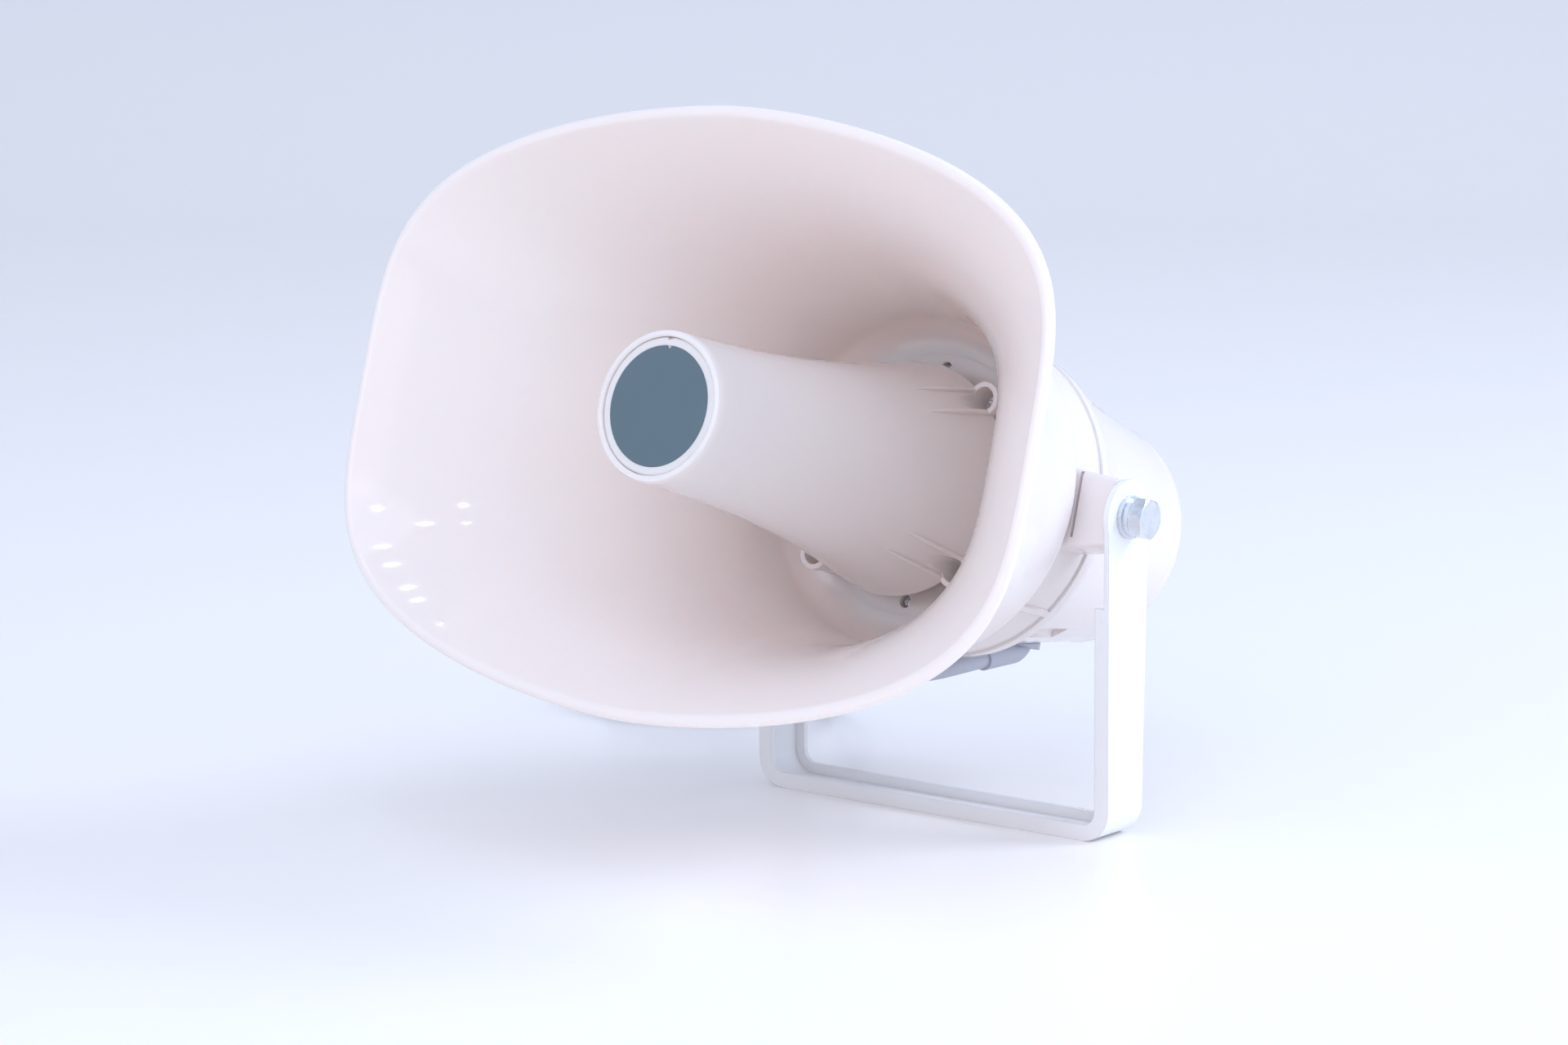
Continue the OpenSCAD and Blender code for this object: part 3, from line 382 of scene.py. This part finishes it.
def label_vinyl():
    """Printed vinyl under a matt film: an even teal grey with the film's fine grain."""
    base = colours().label
    return finish(
        "label_vinyl_teal_grey", shade(base, (0.93, 0.95, 0.95)), shade(base, (1.05, 1.03, 1.03)), patch=22,
        rough=(0.34, 0.46), dull_patch=1.1, bump_patch=0.6, bump=0.005, edge=0.2, settings={"IOR": 1.53},
    )


def pvc_sheath():
    """Soft PVC, extruded: mid grey with a low sheen and a faint grain."""
    base = colours().lead
    return finish(
        "pvc_sheath_grey", shade(base, (0.95, 0.95, 0.96)), shade(base, (1.03, 1.03, 1.03)), patch=8,
        rough=(0.4, 0.55), dull_patch=2.5, bump_patch=0.7, bump=0.01, settings={"IOR": 1.53},
    )


def grained(name, dark, light, grain, rough, relief, stretch, settings):
    """A finish whose patterns all have one grain, for the small pieces."""
    return finish(
        name, rgba(dark), rgba(light), patch=grain, rough=(rough * 0.85, rough * 1.15), dull_patch=grain,
        bump_patch=grain, bump=relief, edge=0.2, stretch=stretch, settings=settings,
    )


def polished_metal(name, dark, light, grain, rough, stretch=(1, 1, 1)):
    """Bare or plated metal with the fine streaks that its making leaves."""
    return grained(name, dark, light, grain, rough, 0.02, stretch, {"Metallic": 1.0})


def dull_stuff(name, dark, light, grain, rough, relief=0.02, stretch=(1, 1, 1)):
    """A rubber, plastic, cloth, board or ferrite of two near colours, with its own grain as relief."""
    return grained(name, dark, light, grain, rough, relief, stretch, {"IOR": 1.5})


def core_insulation():
    """Thin extruded PVC: one dark grey and one red core, which the middle plane between them tells apart."""
    material = dull_stuff("core_insulation_pvc", "#a52f29", "#3b3d43", 0.4, 0.4)
    tree = material.node_tree
    low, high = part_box("lead_cores")
    *_, before, end = coil_line()
    way = end - before
    across = np.cross(way / np.linalg.norm(way), (0, 0, 1))
    border = 0.1 * MM
    place = add(tree, "ShaderNodeTexCoord").outputs["Object"]
    side = add(tree, "ShaderNodeVectorMath", {"operation": "SUBTRACT"}, {0: place, 1: (low + high) / 2})
    reach = add(tree, "ShaderNodeVectorMath", {"operation": "DOT_PRODUCT"}, {0: side, 1: tuple(across)})
    pick = add(tree, "ShaderNodeMapRange", links={0: reach.outputs["Value"], 1: -border, 2: border})
    tree.links.new(pick.outputs[0], tree.nodes["tones"].inputs[0])
    return material


def studio_board():
    """Smooth board: the floor's colour below, the backdrop's from 600 mm up, and a lift where it is seen."""
    material = finish(
        "studio_board", (*colours().floor, 1), (*colours().wall, 1), patch=30, rough=(0.3, 0.36),
        dull_patch=20, bump_patch=0.8, bump=0.001,
    )
    tree = material.node_tree
    shader = tree.nodes["finish"]
    place = add(tree, "ShaderNodeTexCoord").outputs["Object"]
    height = add(tree, "ShaderNodeSeparateXYZ", links={"Vector": place}).outputs["Z"]
    rise = add(tree, "ShaderNodeMapRange", links={0: height, 1: 0.0, 2: 0.6})
    tree.links.new(rise.outputs[0], tree.nodes["tones"].inputs[0])
    ray = add(tree, "ShaderNodeLightPath").outputs
    seen = ray["Is Camera Ray"]
    for kind in ("Is Glossy Ray", "Is Transmission Ray"):
        seen = add(tree, "ShaderNodeMath", {"operation": "MAXIMUM"}, {0: seen, 1: ray[kind]})
    lift = add(tree, "ShaderNodeMath", {"operation": "MULTIPLY"}, {0: seen, 1: STAGE_LIFT})
    tree.links.new(lift.outputs[0], shader.inputs["Emission Strength"])
    shader.inputs["Emission Color"].default_value = rgba(DAYLIGHT)
    return material


# The camera and the lead


class HORN_OT_camera(bpy.types.Operator):
    """Places the camera where the photograph was taken from"""

    bl_idname = "horn.camera"
    bl_label = "Camera"

    def execute(self, context):
        data = bpy.data.cameras.new("camera")
        data.sensor_width, data.lens = SENSOR_WIDTH, CAMERA_LENS
        data.clip_start, data.clip_end = 0.05, 50
        camera = object_from("camera", data)
        camera.location = CAMERA_PLACE
        turn, pitch = CAMERA_TURN, CAMERA_PITCH
        level = math.cos(pitch)
        ahead = Vector((-math.sin(turn) * level, math.cos(turn) * level, -math.sin(pitch)))
        camera.rotation_mode = "QUATERNION"
        camera.rotation_quaternion = ahead.to_track_quat("-Z", "Y")
        context.scene.camera = camera
        return {"FINISHED"}


def curved_through(points, per_span):
    """Points on a smooth line through the given ones, whose slope at each comes from its two neighbours."""
    p = [np.array(q, float) for q in points]
    p = [2 * p[0] - p[1], *p, 2 * p[-1] - p[-2]]
    line = []
    for a, b, c, d in zip(p, p[1:], p[2:], p[3:]):
        for f in np.arange(per_span) / per_span:
            bend, twist = 2 * a - 5 * b + 4 * c - d, 3 * b - a - 3 * c + d
            line.append(0.5 * (2 * b + (c - a) * f + bend * f**2 + twist * f**3))
    return [*line, p[-2]]


def coil_line(steps=48):
    """The coil's centre line in millimetres: it winds inwards, climbs on itself half way and winds out."""
    lead_d, radius = sizes().lead_d / MM, sizes().coil_r / MM
    side, rise = lead_d + COIL_GAP, lead_d + COIL_RISE_GAP
    half, climb = COIL_TURNS / 2, 0.5
    end, before = (np.array(p, float) for p in (LEAD_ROUTE[-1], LEAD_ROUTE[-2]))
    way = (end - before) / np.linalg.norm(end - before)
    start = math.atan2(-way[0], way[1])
    centre = end + lead_d * way - radius * np.array((math.cos(start), math.sin(start), 0))
    line = []
    for i in range(round(COIL_TURNS * steps) + 1):
        turn = i / steps
        r = radius - side * (half - abs(turn - half))
        g = min(max((turn - half) / climb + 0.5, 0), 1)
        a = start + 2 * math.pi * turn
        line.append(centre + np.array((r * math.cos(a), r * math.sin(a), rise * g * g * (3 - 2 * g))))
    return line


def sheath_tree():
    """Turns a curve into a closed tube with 20 sides."""
    tree, given = new_tree("sheath tube", {"Radius": "NodeSocketFloat", "Finish": "NodeSocketMaterial"})
    ring = add(tree, "GeometryNodeCurvePrimitiveCircle", links={"Resolution": 20, "Radius": given["Radius"]})
    tube = add(tree, "GeometryNodeCurveToMesh", links={
        "Curve": given["Geometry"], "Profile Curve": ring, "Fill Caps": True,
    })
    smooth = add(tree, "GeometryNodeSetShadeSmooth", links={"Geometry": tube})
    plain = add(tree, "GeometryNodeRealizeInstances", links={0: smooth})
    named = add(tree, "GeometryNodeSetMaterial", links={"Geometry": plain, "Material": given["Finish"]})
    add(tree, "NodeGroupOutput", links={0: named})
    return tree


def sheath(name, line, radius, material):
    """The lead's sheath: a tube of one radius along a line of points in metres."""
    curve = bpy.data.curves.new(name + "_line", "CURVE")
    curve.dimensions = "3D"
    spline = curve.splines.new("POLY")
    spline.points.add(len(line) - 1)
    spline.points.foreach_set("co", [c for p in line for c in (*p, 1)])
    bare = object_from(name + "_line", curve)
    return grown(bare, sheath_tree(), {"Radius": radius, "Finish": material}, name)


class HORN_OT_lead(bpy.types.Operator):
    """Makes the grey lead, its coil, its tie and its two bare cores"""

    bl_idname = "horn.lead"
    bl_label = "Lead"

    def execute(self, context):
        # moulded nylon: black with a soft sheen
        nylon = dull_stuff("nylon_tie_black", "#1d1e20", "#2a2b2e", 3, 0.45)
        # drawn wire: copper brown with pale streaks along it
        copper = polished_metal("tinned_copper_strands", "#a8744c", "#d9a577", 0.7, 0.35, (1, 1, 0.2))
        tie = rounded_copy("lead_tie", "cable_tie", nylon)
        cores = rounded_copy("lead_cores", "lead_core_pair", core_insulation(), 60)
        strands = rounded_copy("lead_strands", "tinned_strands", copper, 60)
        route = curved_through(LEAD_ROUTE, 4)
        line = [np.array(p) * MM for p in (*route, *coil_line())]
        lead = sheath("lead_sheath", line, sizes().lead_d / 2, pvc_sheath())
        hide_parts("lead", "lead_coil")
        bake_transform(lead)
        return {"FINISHED"}


# The flare


def flare_tree():
    """The flare's rule: each point goes to its place on an outline that grows from round throat to mouth.

    A point brings u, its share of the way to the mouth, turn, its angle round the outline, out, how far it
    lies outside the bowl's face, least, the smallest radius there, and along, its shift along the axis.
    """
    numbers = (
        "Throat radius", "Half width", "Half height", "Floor at", "Mouth at", "Width power", "Height power",
    )
    sockets = {**dict.fromkeys(numbers, "NodeSocketFloat"), "Finish": "NodeSocketMaterial"}
    tree, given = new_tree("flare rule", sockets)
    floor_at, throat = given["Floor at"], given["Throat radius"]
    own = {
        key: add(tree, "GeometryNodeInputNamedAttribute", {"data_type": "FLOAT"}, {"Name": key})
        for key in ("u", "turn", "out", "least", "along")
    }
    places = []
    # part of the growth of each half is straight, and the given share of it is a power of u
    for trig, half, share, power, mouth_power in (
        ("COSINE", "Half width", 0.75, 2.6, "Width power"), ("SINE", "Half height", 0.6, 3.0, "Height power"),
    ):
        straight = add(tree, "ShaderNodeMath", {"operation": "MULTIPLY"}, {0: own["u"], 1: 1 - share})
        curved = add(tree, "ShaderNodeMath", {"operation": "POWER"}, {0: own["u"], 1: power})
        growth = add(tree, "ShaderNodeMath", {"operation": "MULTIPLY_ADD"}, {
            0: curved, 1: share, 2: straight,
        })
        span = add(tree, "ShaderNodeMath", {"operation": "SUBTRACT"}, {0: given[half], 1: throat})
        face = add(tree, "ShaderNodeMath", {"operation": "MULTIPLY_ADD"}, {0: growth, 1: span, 2: throat})
        wide = add(tree, "ShaderNodeMath", {"operation": "ADD"}, {0: face, 1: own["out"]})
        reach = add(tree, "ShaderNodeMath", {"operation": "MAXIMUM"}, {0: wide, 1: own["least"]})
        # a superellipse whose exponent goes from 2 at the round throat to its own value at the mouth
        extra = add(tree, "ShaderNodeMath", {"operation": "SUBTRACT"}, {0: given[mouth_power], 1: 2.0})
        exponent = add(tree, "ShaderNodeMath", {"operation": "MULTIPLY_ADD"}, {0: extra, 1: own["u"], 2: 2.0})
        inverse = add(tree, "ShaderNodeMath", {"operation": "DIVIDE"}, {0: 2.0, 1: exponent})
        wave = add(tree, "ShaderNodeMath", {"operation": trig}, {0: own["turn"]})
        size = add(tree, "ShaderNodeMath", {"operation": "ABSOLUTE"}, {0: wave})
        bent = add(tree, "ShaderNodeMath", {"operation": "POWER"}, {0: size, 1: inverse})
        sign = add(tree, "ShaderNodeMath", {"operation": "SIGN"}, {0: wave})
        unit = add(tree, "ShaderNodeMath", {"operation": "MULTIPLY"}, {0: bent, 1: sign})
        places.append(add(tree, "ShaderNodeMath", {"operation": "MULTIPLY"}, {0: unit, 1: reach}))
    depth = add(tree, "ShaderNodeMath", {"operation": "SUBTRACT"}, {0: given["Mouth at"], 1: floor_at})
    ahead = add(tree, "ShaderNodeMath", {"operation": "MULTIPLY_ADD"}, {0: depth, 1: own["u"], 2: floor_at})
    station = add(tree, "ShaderNodeMath", {"operation": "ADD"}, {0: ahead, 1: own["along"]})
    place = add(tree, "ShaderNodeCombineXYZ", links={"X": places[0], "Y": places[1], "Z": station})
    put = add(tree, "GeometryNodeSetPosition", links={"Geometry": given["Geometry"], "Position": place})
    plain = add(tree, "GeometryNodeRealizeInstances", links={0: put})
    named = add(tree, "GeometryNodeSetMaterial", links={"Geometry": plain, "Material": given["Finish"]})
    add(tree, "NodeGroupOutput", links={0: named})
    return tree


def flare_rings():
    """The flare's section as rings (u, out, least, along): up the bowl, over the rim and to the neck."""
    s = sizes()
    wall = 0.0026
    neck_r, neck_at, neck_round = 0.0622, 0.010, 0.0042
    lip_r, lip_t = 0.0551, 0.0015
    fillet, sunk_r, sunk, proud = 0.010, 0.0448, 0.2 * MM, 0.05 * MM
    # the numbers of rings, close together up the bowl, whose near side is seen edge on
    round_rings, bowl_rings, rim_rings, back_rings, neck_rings = 12, 120, 14, 56, 10
    depth = s.mouth_at - s.rim / 2 - s.bowl_at

    def at_floor(r, z):
        """A ring of radius r at the station z, for the round parts near the bowl's floor."""
        return (0, r - s.throat_r, 0, z - s.bowl_at)

    rings = [at_floor(lip_r, neck_at), at_floor(lip_r, neck_at + lip_t)]
    # the floor's round edge, drawn just proud of the floor's own and sinking into it so that no seam shows
    rings += [at_floor(sunk_r, neck_at + lip_t), at_floor(sunk_r, s.bowl_at - sunk)]
    rings += [
        (fillet * (1 - math.cos(a)) / depth, fillet * (math.sin(a) - 1), 0, proud)
        for a in np.linspace(0, math.pi / 2, round_rings)
    ]
    rings += [(u, 0, 0, 0) for u in np.linspace(fillet / depth, 1, bowl_rings + 1)[1:]]
    # the rim starts along the bowl's own slope, so that no crease shows round the mouth
    lean = math.radians(42)
    bead = s.rim / (1 + math.cos(lean))
    rings += [
        (1, bead * (math.cos(lean) - math.cos(a)), 0, bead * (math.sin(a) - math.sin(lean)))
        for a in np.linspace(lean, math.pi, rim_rings + 1)[1:]
    ]
    # the outside, whose wall swells to the rim's thickness near the mouth and leans back with the slope
    swell, slant = 10, 0.45
    for u in np.linspace(0.97, 0.04, back_rings):
        w = wall + (s.rim - wall) * u**swell
        rings.append((u, w, neck_r, -wall * slant * u))
    rings += [
        at_floor(neck_r - neck_round * (1 - math.cos(a)), neck_at + neck_round * (1 - math.sin(a)))
        for a in np.linspace(0, math.pi / 2, neck_rings)
    ]
    return rings


class HORN_OT_flare(bpy.types.Operator):
    """Makes the wide oval flare from its rule"""

    bl_idname = "horn.flare"
    bl_label = "Flare"

    def execute(self, context):
        s, rings, per_quarter = sizes(), flare_rings(), 72
        # the columns crowd towards the two sides, where the outline's rule would spread them
        angles, crowding = [], 1.6
        for k in range(4 * per_quarter):
            q, f = divmod(k, per_quarter)
            f = (f / per_quarter) ** crowding if q % 2 == 0 else 1 - (1 - f / per_quarter) ** crowding
            angles.append(-math.pi / 2 * (q + f))
        n, m = len(angles), len(rings)
        faces = [
            (i * n + k, i * n + (k + 1) % n, (i + 1) % m * n + (k + 1) % n, (i + 1) % m * n + k)
            for i in range(m) for k in range(n)
        ]
        mesh = bpy.data.meshes.new("flare_rings")
        mesh.from_pydata([(0, 0, 0)] * (n * m), [], faces)
        parts = dict(zip(("u", "out", "least", "along"), zip(*rings)))
        columns = {key: np.repeat(values, n) for key, values in parts.items()}
        columns["turn"] = np.tile(angles, m)
        for key, values in columns.items():
            mesh.attributes.new(key, "FLOAT", "POINT").data.foreach_set("value", values.astype(np.float32))
        flare = grown(object_from("flare_rings", mesh), flare_tree(), {
            "Throat radius": s.throat_r, "Half width": s.mouth_w / 2 - s.rim,
            "Half height": s.mouth_h / 2 - s.rim, "Floor at": s.bowl_at, "Mouth at": s.mouth_at - s.rim / 2,
            "Width power": 1.7, "Height power": 3.9, "Finish": thin_abs(),
        }, "flare")
        for key in columns:
            flare.data.attributes.remove(flare.data.attributes[key])
        flare.data.transform(HORN)
        smoothed(flare.data, 40)
        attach(flare, "horn")
        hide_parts("horn_flare")
        return {"FINISHED"}


# The pieces that keep their CAD shape


class HORN_OT_bell(bpy.types.Operator):
    """Dresses the reflex bell with its cap and blank label, and the floor of the bowl"""

    bl_idname = "horn.bell"
    bl_label = "Reflex bell"

    def execute(self, context):
        rounded_copy("reflex_bell", "bell_tube", thin_abs())
        rounded_copy("tip_cap", "bell_cap", thin_abs())
        rounded_copy("label_disc", "blank_label", label_vinyl())
        rounded_copy("throat_plate", "bowl_floor", thin_abs())
        rounded_copy("throat_tube", "inner_tube", satin_abs())
        return {"FINISHED"}


class HORN_OT_housing(bpy.types.Operator):
    """Dresses the collar, the rear cover, its gasket and the boot"""

    bl_idname = "horn.housing"
    bl_label = "Rear housing"

    def execute(self, context):
        # moulded rubber: off-white and dull, with a dry fine grain
        silicone = dull_stuff("silicone_rubber_white", "#dedad7", "#e8e5e2", 2.5, 0.5)
        rounded_copy("mount_collar", "collar", gloss_abs())
        rounded_copy("rear_cover", "cover", gloss_abs())
        rounded_copy("cover_gasket", "cover_seal", silicone)
        rounded_copy("strain_relief", "boot", pvc_sheath(), 40)
        return {"FINISHED"}


class HORN_OT_bracket(bpy.types.Operator):
    """Dresses the painted steel bracket"""

    bl_idname = "horn.bracket"
    bl_label = "Bracket"

    def execute(self, context):
        rounded_copy("bracket", "bracket_strip", powder_coat())
        return {"FINISHED"}


class HORN_OT_bolts(bpy.types.Operator):
    """Dresses the tilt bolts and their washers"""

    bl_idname = "horn.bolts"
    bl_label = "Tilt bolts"

    def execute(self, context):
        rounded_copy("tilt_bolts", "hex_bolts", zinc_plate(), 25)
        rounded_copy("spring_washers", "split_washers", zinc_plate(), 25)
        rounded_copy("flat_washers", "plain_washers", zinc_plate(), 25)
        return {"FINISHED"}


# The screws

# Sizes in millimetres and angles in degrees: the CAD node, the new piece, its ring's radius, the screws'
# angles on it, the station of the heads and the way they face, then the shank's and the head's radius, the
# head's height and the shank's length
SCREW_SETS = (
    ("bell_screws", "bell_screw_set", 42.8, (45, 135, 225, 315), 23.0, 1, 1.75, 3.3, 2.2, 11),
    ("plate_screws", "floor_screw_set", 41.8, (90, 270), 11.0, 1, 1.2, 2.1, 1.6, 4.4),
    ("cover_screws", "cover_screw_set", 49.0, (60, 120, 240, 300), -20.5, -1, 1.75, 3.3, 2.2, 22),
)
# The head's outline as shares of its radius and its height, then the point's length, and its end as a share
# of the shank's radius
HEAD_OUTLINE = ((0, 1), (0.5, 1), (0.72, 0.93), (0.9, 0.72), (1, 0.42), (1, 0))
POINT_LENGTH = 2.5
POINT_END = 0.25
# The recess's length and width as shares of the head's radius, and its depth as a share of the height
RECESS = (1.15, 0.27, 1.1)


def screw_tree():
    """Puts one screw on each point, turned to the point's own direction."""
    tree, given = new_tree("screw set", {"Screw": "NodeSocketObject", "Finish": "NodeSocketMaterial"})
    screw = add(tree, "GeometryNodeObjectInfo", links={"Object": given["Screw"], "As Instance": True})
    way = add(tree, "GeometryNodeInputNamedAttribute", {"data_type": "FLOAT_VECTOR"}, {"Name": "way"})
    turned = add(tree, "FunctionNodeAlignRotationToVector", {"axis": "Z"}, {"Vector": way})
    put = add(tree, "GeometryNodeInstanceOnPoints", links={
        "Points": given["Geometry"], "Instance": screw.outputs["Geometry"], "Rotation": turned,
    })
    plain = add(tree, "GeometryNodeRealizeInstances", links={0: put})
    named = add(tree, "GeometryNodeSetMaterial", links={"Geometry": plain, "Material": given["Finish"]})
    add(tree, "NodeGroupOutput", links={0: named})
    return tree


def lathe(name, profile, sides=32):
    """A closed solid of revolution about Z from (radius, height) pairs that start and end on the axis."""
    bm = bmesh.new()
    angles = np.arange(sides) * 2 * math.pi / sides
    rings = []
    for r, z in profile:
        if r == 0:
            rings.append([bm.verts.new((0, 0, z))] * sides)
        else:
            rings.append([bm.verts.new((r * math.cos(a), r * math.sin(a), z)) for a in angles])
    for low, high in zip(rings, rings[1:]):
        for k in range(sides):
            corners = list(dict.fromkeys((low[k], low[(k + 1) % sides], high[(k + 1) % sides], high[k])))
            bm.faces.new(corners)
    bmesh.ops.recalc_face_normals(bm, faces=bm.faces)
    mesh = bpy.data.meshes.new(name)
    bm.to_mesh(mesh)
    bm.free()
    return mesh


def pan_screw(name, shank, cap, cap_h, run):
    """One pan-head screw with a cross recess, its head's underside at the origin. Sizes in millimetres."""
    profile = [(cap * r, cap_h * z) for r, z in HEAD_OUTLINE]
    profile += [(shank, 0), (shank, POINT_LENGTH - run), (shank * POINT_END, -run), (0, -run)]
    screw = object_from(name, lathe(name, [(r * MM, z * MM) for r, z in profile]))
    long, wide, deep = RECESS
    cutter = bmesh.new()
    for turn in (0, math.pi / 2):
        bar = Matrix.Rotation(turn, 4, "Z") @ Matrix.Translation((0, 0, cap_h * MM))
        bar = bar @ Matrix.Diagonal((cap * long, cap * wide, cap_h * deep, 1))
        bmesh.ops.create_cube(cutter, size=MM, matrix=bar)
    cross = object_from(name + "_recess", bpy.data.meshes.new(name + "_recess"))
    cutter.to_mesh(cross.data)
    cutter.free()
    cut = screw.modifiers.new("recess", "BOOLEAN")
    cut.operation, cut.solver, cut.object, cut.use_self = "DIFFERENCE", "EXACT", cross, True
    shown = screw.evaluated_get(bpy.context.evaluated_depsgraph_get())
    screw.data = bpy.data.meshes.new_from_object(shown)
    screw.modifiers.clear()
    bpy.data.objects.remove(cross)
    smoothed(screw.data, 35)
    return screw


class HORN_OT_screws(bpy.types.Operator):
    """Makes the pan-head screws of the bell, the bowl floor and the cover"""

    bl_idname = "horn.screws"
    bl_label = "Screws"

    def execute(self, context):
        tree = screw_tree()
        for node, name, ring, angles, station, way, shank, cap, cap_h, run in SCREW_SETS:
            screw = pan_screw(name + "_one", shank, cap, cap_h, run)
            points = bpy.data.meshes.new(name + "_places")
            turns = [math.radians(a) for a in angles]
            spots = [Vector((ring * math.cos(a), ring * math.sin(a), station)) for a in turns]
            points.from_pydata([HORN @ (spot * MM) for spot in spots], [], [])
            ahead = HORN.to_3x3() @ Vector((0, 0, way))
            facing = points.attributes.new("way", "FLOAT_VECTOR", "POINT")
            facing.data.foreach_set("vector", [*ahead] * len(spots))
            places = object_from(name + "_places", points)
            made = grown(places, tree, {"Screw": screw, "Finish": zinc_plate()}, name)
            bpy.data.objects.remove(screw)
            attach(made, "horn")
            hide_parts(node)
        return {"FINISHED"}


# The inside and the stage


class HORN_OT_inside(bpy.types.Operator):
    """Gives the driver, the transformer and the inserts their finishes"""

    bl_idname = "horn.inside"
    bl_label = "Driver and transformer"

    def execute(self, context):
        # yellow metal with fine tool marks
        brass = polished_metal("turned_brass", "#a8843e", "#cfa95c", 1.4, 0.28)
        # mid grey metal under a thin plating, cloudy in soft patches
        steel = polished_metal("zinc_plated_iron", "#a9acb1", "#cfd2d6", 3.3, 0.35)
        # dark grey plastic with the fibres' fine mottle
        nylon = dull_stuff("glass_filled_nylon_grey", "#33363b", "#43474d", 2, 0.5)
        for node, material in {
            "lug_inserts": brass, "driver_spacer": brass, "terminal_tabs": brass,
            "driver_front": nylon, "phase_plug": nylon,
            "top_plate": steel, "back_plate": steel, "driver_screws": steel,
            "transformer_strap": steel, "strap_screws": steel,
            # moulded rubber: near black, with a dry fine grain
            "driver_gasket": dull_stuff("epdm_rubber_black", "#232426", "#303134", 2.5, 0.6),
            # dull charcoal with a fine dry grain
            "magnet": dull_stuff("sintered_ferrite", "#26272a", "#3a3b3f", 0.7, 0.7, 0.06),
            # amber, with the cloth's weave drawn about twice as coarse as it is
            "diaphragm_edge": dull_stuff("doped_cotton_cloth", "#9c6c2c", "#c9964a", 0.6, 0.6, 0.06),
            # pale bright metal, pressed smooth
            "diaphragm_dome": polished_metal("pressed_aluminium_foil", "#c4c7cc", "#e3e5e8", 3.3, 0.25),
            # turns wound round the horn's axis, drawn about three times as coarse as they are
            "voice_coil": polished_metal(
                "enamelled_copper_wire", "#8c4a1c", "#c9722f", 1.1, 0.3, (0.2, 2, 2)
            ),
            # stacked sheets 0.5 mm thick with the varnish's brown cast
            "transformer_core": polished_metal(
                "varnished_silicon_steel", "#57504a", "#7d7268", 1.1, 0.5, (0.1, 1, 2.2)
            ),
            # glossy amber tape in long flat turns
            "transformer_winding": dull_stuff(
                "yellow_polyester_tape", "#b9812f", "#dba44c", 4, 0.3, 0.02, (1, 0.1, 1)
            ),
            # brown board with the paper's fine mottle
            "terminal_strip": dull_stuff("phenolic_paper_board", "#7a4a28", "#94613a", 1.6, 0.45),
        }.items():
            finish_node(node, material)
        return {"FINISHED"}


class HORN_OT_stage(bpy.types.Operator):
    """Makes the pale floor, the backdrop and the soft lights"""

    bl_idname = "horn.stage"
    bl_label = "Stage"

    def execute(self, context):
        mesh = bpy.data.meshes.new("floor")
        reach, back, top, bend, bend_lines = 6.0, 3.0, 5.0, 0.8, 17
        # one sheet: the floor, a wide bend and the backdrop, square to the camera's view
        turn = Matrix.Rotation(CAMERA_TURN, 4, "Z")
        line = [(-reach, 0)]
        line += [
            (back - bend + bend * math.sin(a), bend - bend * math.cos(a))
            for a in np.linspace(0, math.pi / 2, bend_lines)
        ]
        line += [(back, top)]
        points = [turn @ Vector((x, y, z)) for y, z in line for x in (-reach, reach)]
        faces = [(2 * i, 2 * i + 1, 2 * i + 3, 2 * i + 2) for i in range(len(line) - 1)]
        mesh.from_pydata(points, [], faces)
        mesh.shade_smooth()
        floor = object_from("floor", mesh)
        floor.data.materials.append(studio_board())

        world = bpy.data.worlds.new("soft daylight")
        context.scene.world = world
        world.use_nodes = True
        tree = world.node_tree
        tree.nodes.clear()
        sky = add(tree, "ShaderNodeBackground", links={"Color": rgba(DAYLIGHT), "Strength": WORLD_STRENGTH})
        add(tree, "ShaderNodeOutputWorld", links={"Surface": sky})

        for name, (place, size, power, tint) in LAMPS.items():
            lamp = bpy.data.lights.new(name, "AREA")
            lamp.shape, lamp.size, lamp.energy, lamp.color = "DISK", size, power, linear(tint)
            placed = object_from(name, lamp)
            # the glossy bowl would mirror the key light as a pale patch that the photograph doesn't have
            placed.visible_glossy = name != "key_light"
            placed.location = place
            placed.rotation_mode = "QUATERNION"
            placed.rotation_quaternion = (Vector(LAMPS_AIM) - Vector(place)).to_track_quat("-Z", "Y")
        return {"FINISHED"}


class HORN_PT_panel(bpy.types.Panel):
    """Lists the speaker's pieces, sizes and colours"""

    bl_idname = "HORN_PT_panel"
    bl_label = "Horn Speaker"
    bl_space_type = "VIEW_3D"
    bl_region_type = "UI"
    bl_category = "Horn Speaker"

    def draw(self, context):
        for group in (sizes(), colours()):
            box = self.layout.box()
            for key in group.bl_rna.properties.keys():
                if key not in ("rna_type", "name"):
                    box.prop(group, key)
        for operator in OPERATORS:
            self.layout.operator(operator.bl_idname)


OPERATORS = (
    HORN_OT_camera, HORN_OT_lead, HORN_OT_flare, HORN_OT_bell, HORN_OT_housing, HORN_OT_bracket,
    HORN_OT_bolts, HORN_OT_screws, HORN_OT_inside, HORN_OT_stage,
)
CLASSES = (HornSizes, HornColours, *OPERATORS, HORN_PT_panel)


def register():
    for cls in CLASSES:
        bpy.utils.register_class(cls)
    bpy.types.Scene.horn_sizes = bpy.props.PointerProperty(type=HornSizes)
    bpy.types.Scene.horn_colours = bpy.props.PointerProperty(type=HornColours)


def unregister():
    del bpy.types.Scene.horn_sizes, bpy.types.Scene.horn_colours
    for cls in reversed(CLASSES):
        bpy.utils.unregister_class(cls)


def main():
    register()
    bpy.context.scene.view_settings.view_transform = "Standard"
    for operator in OPERATORS:
        group, name = operator.bl_idname.split(".")
        getattr(getattr(bpy.ops, group), name)()


if __name__ == "__main__":
    main()
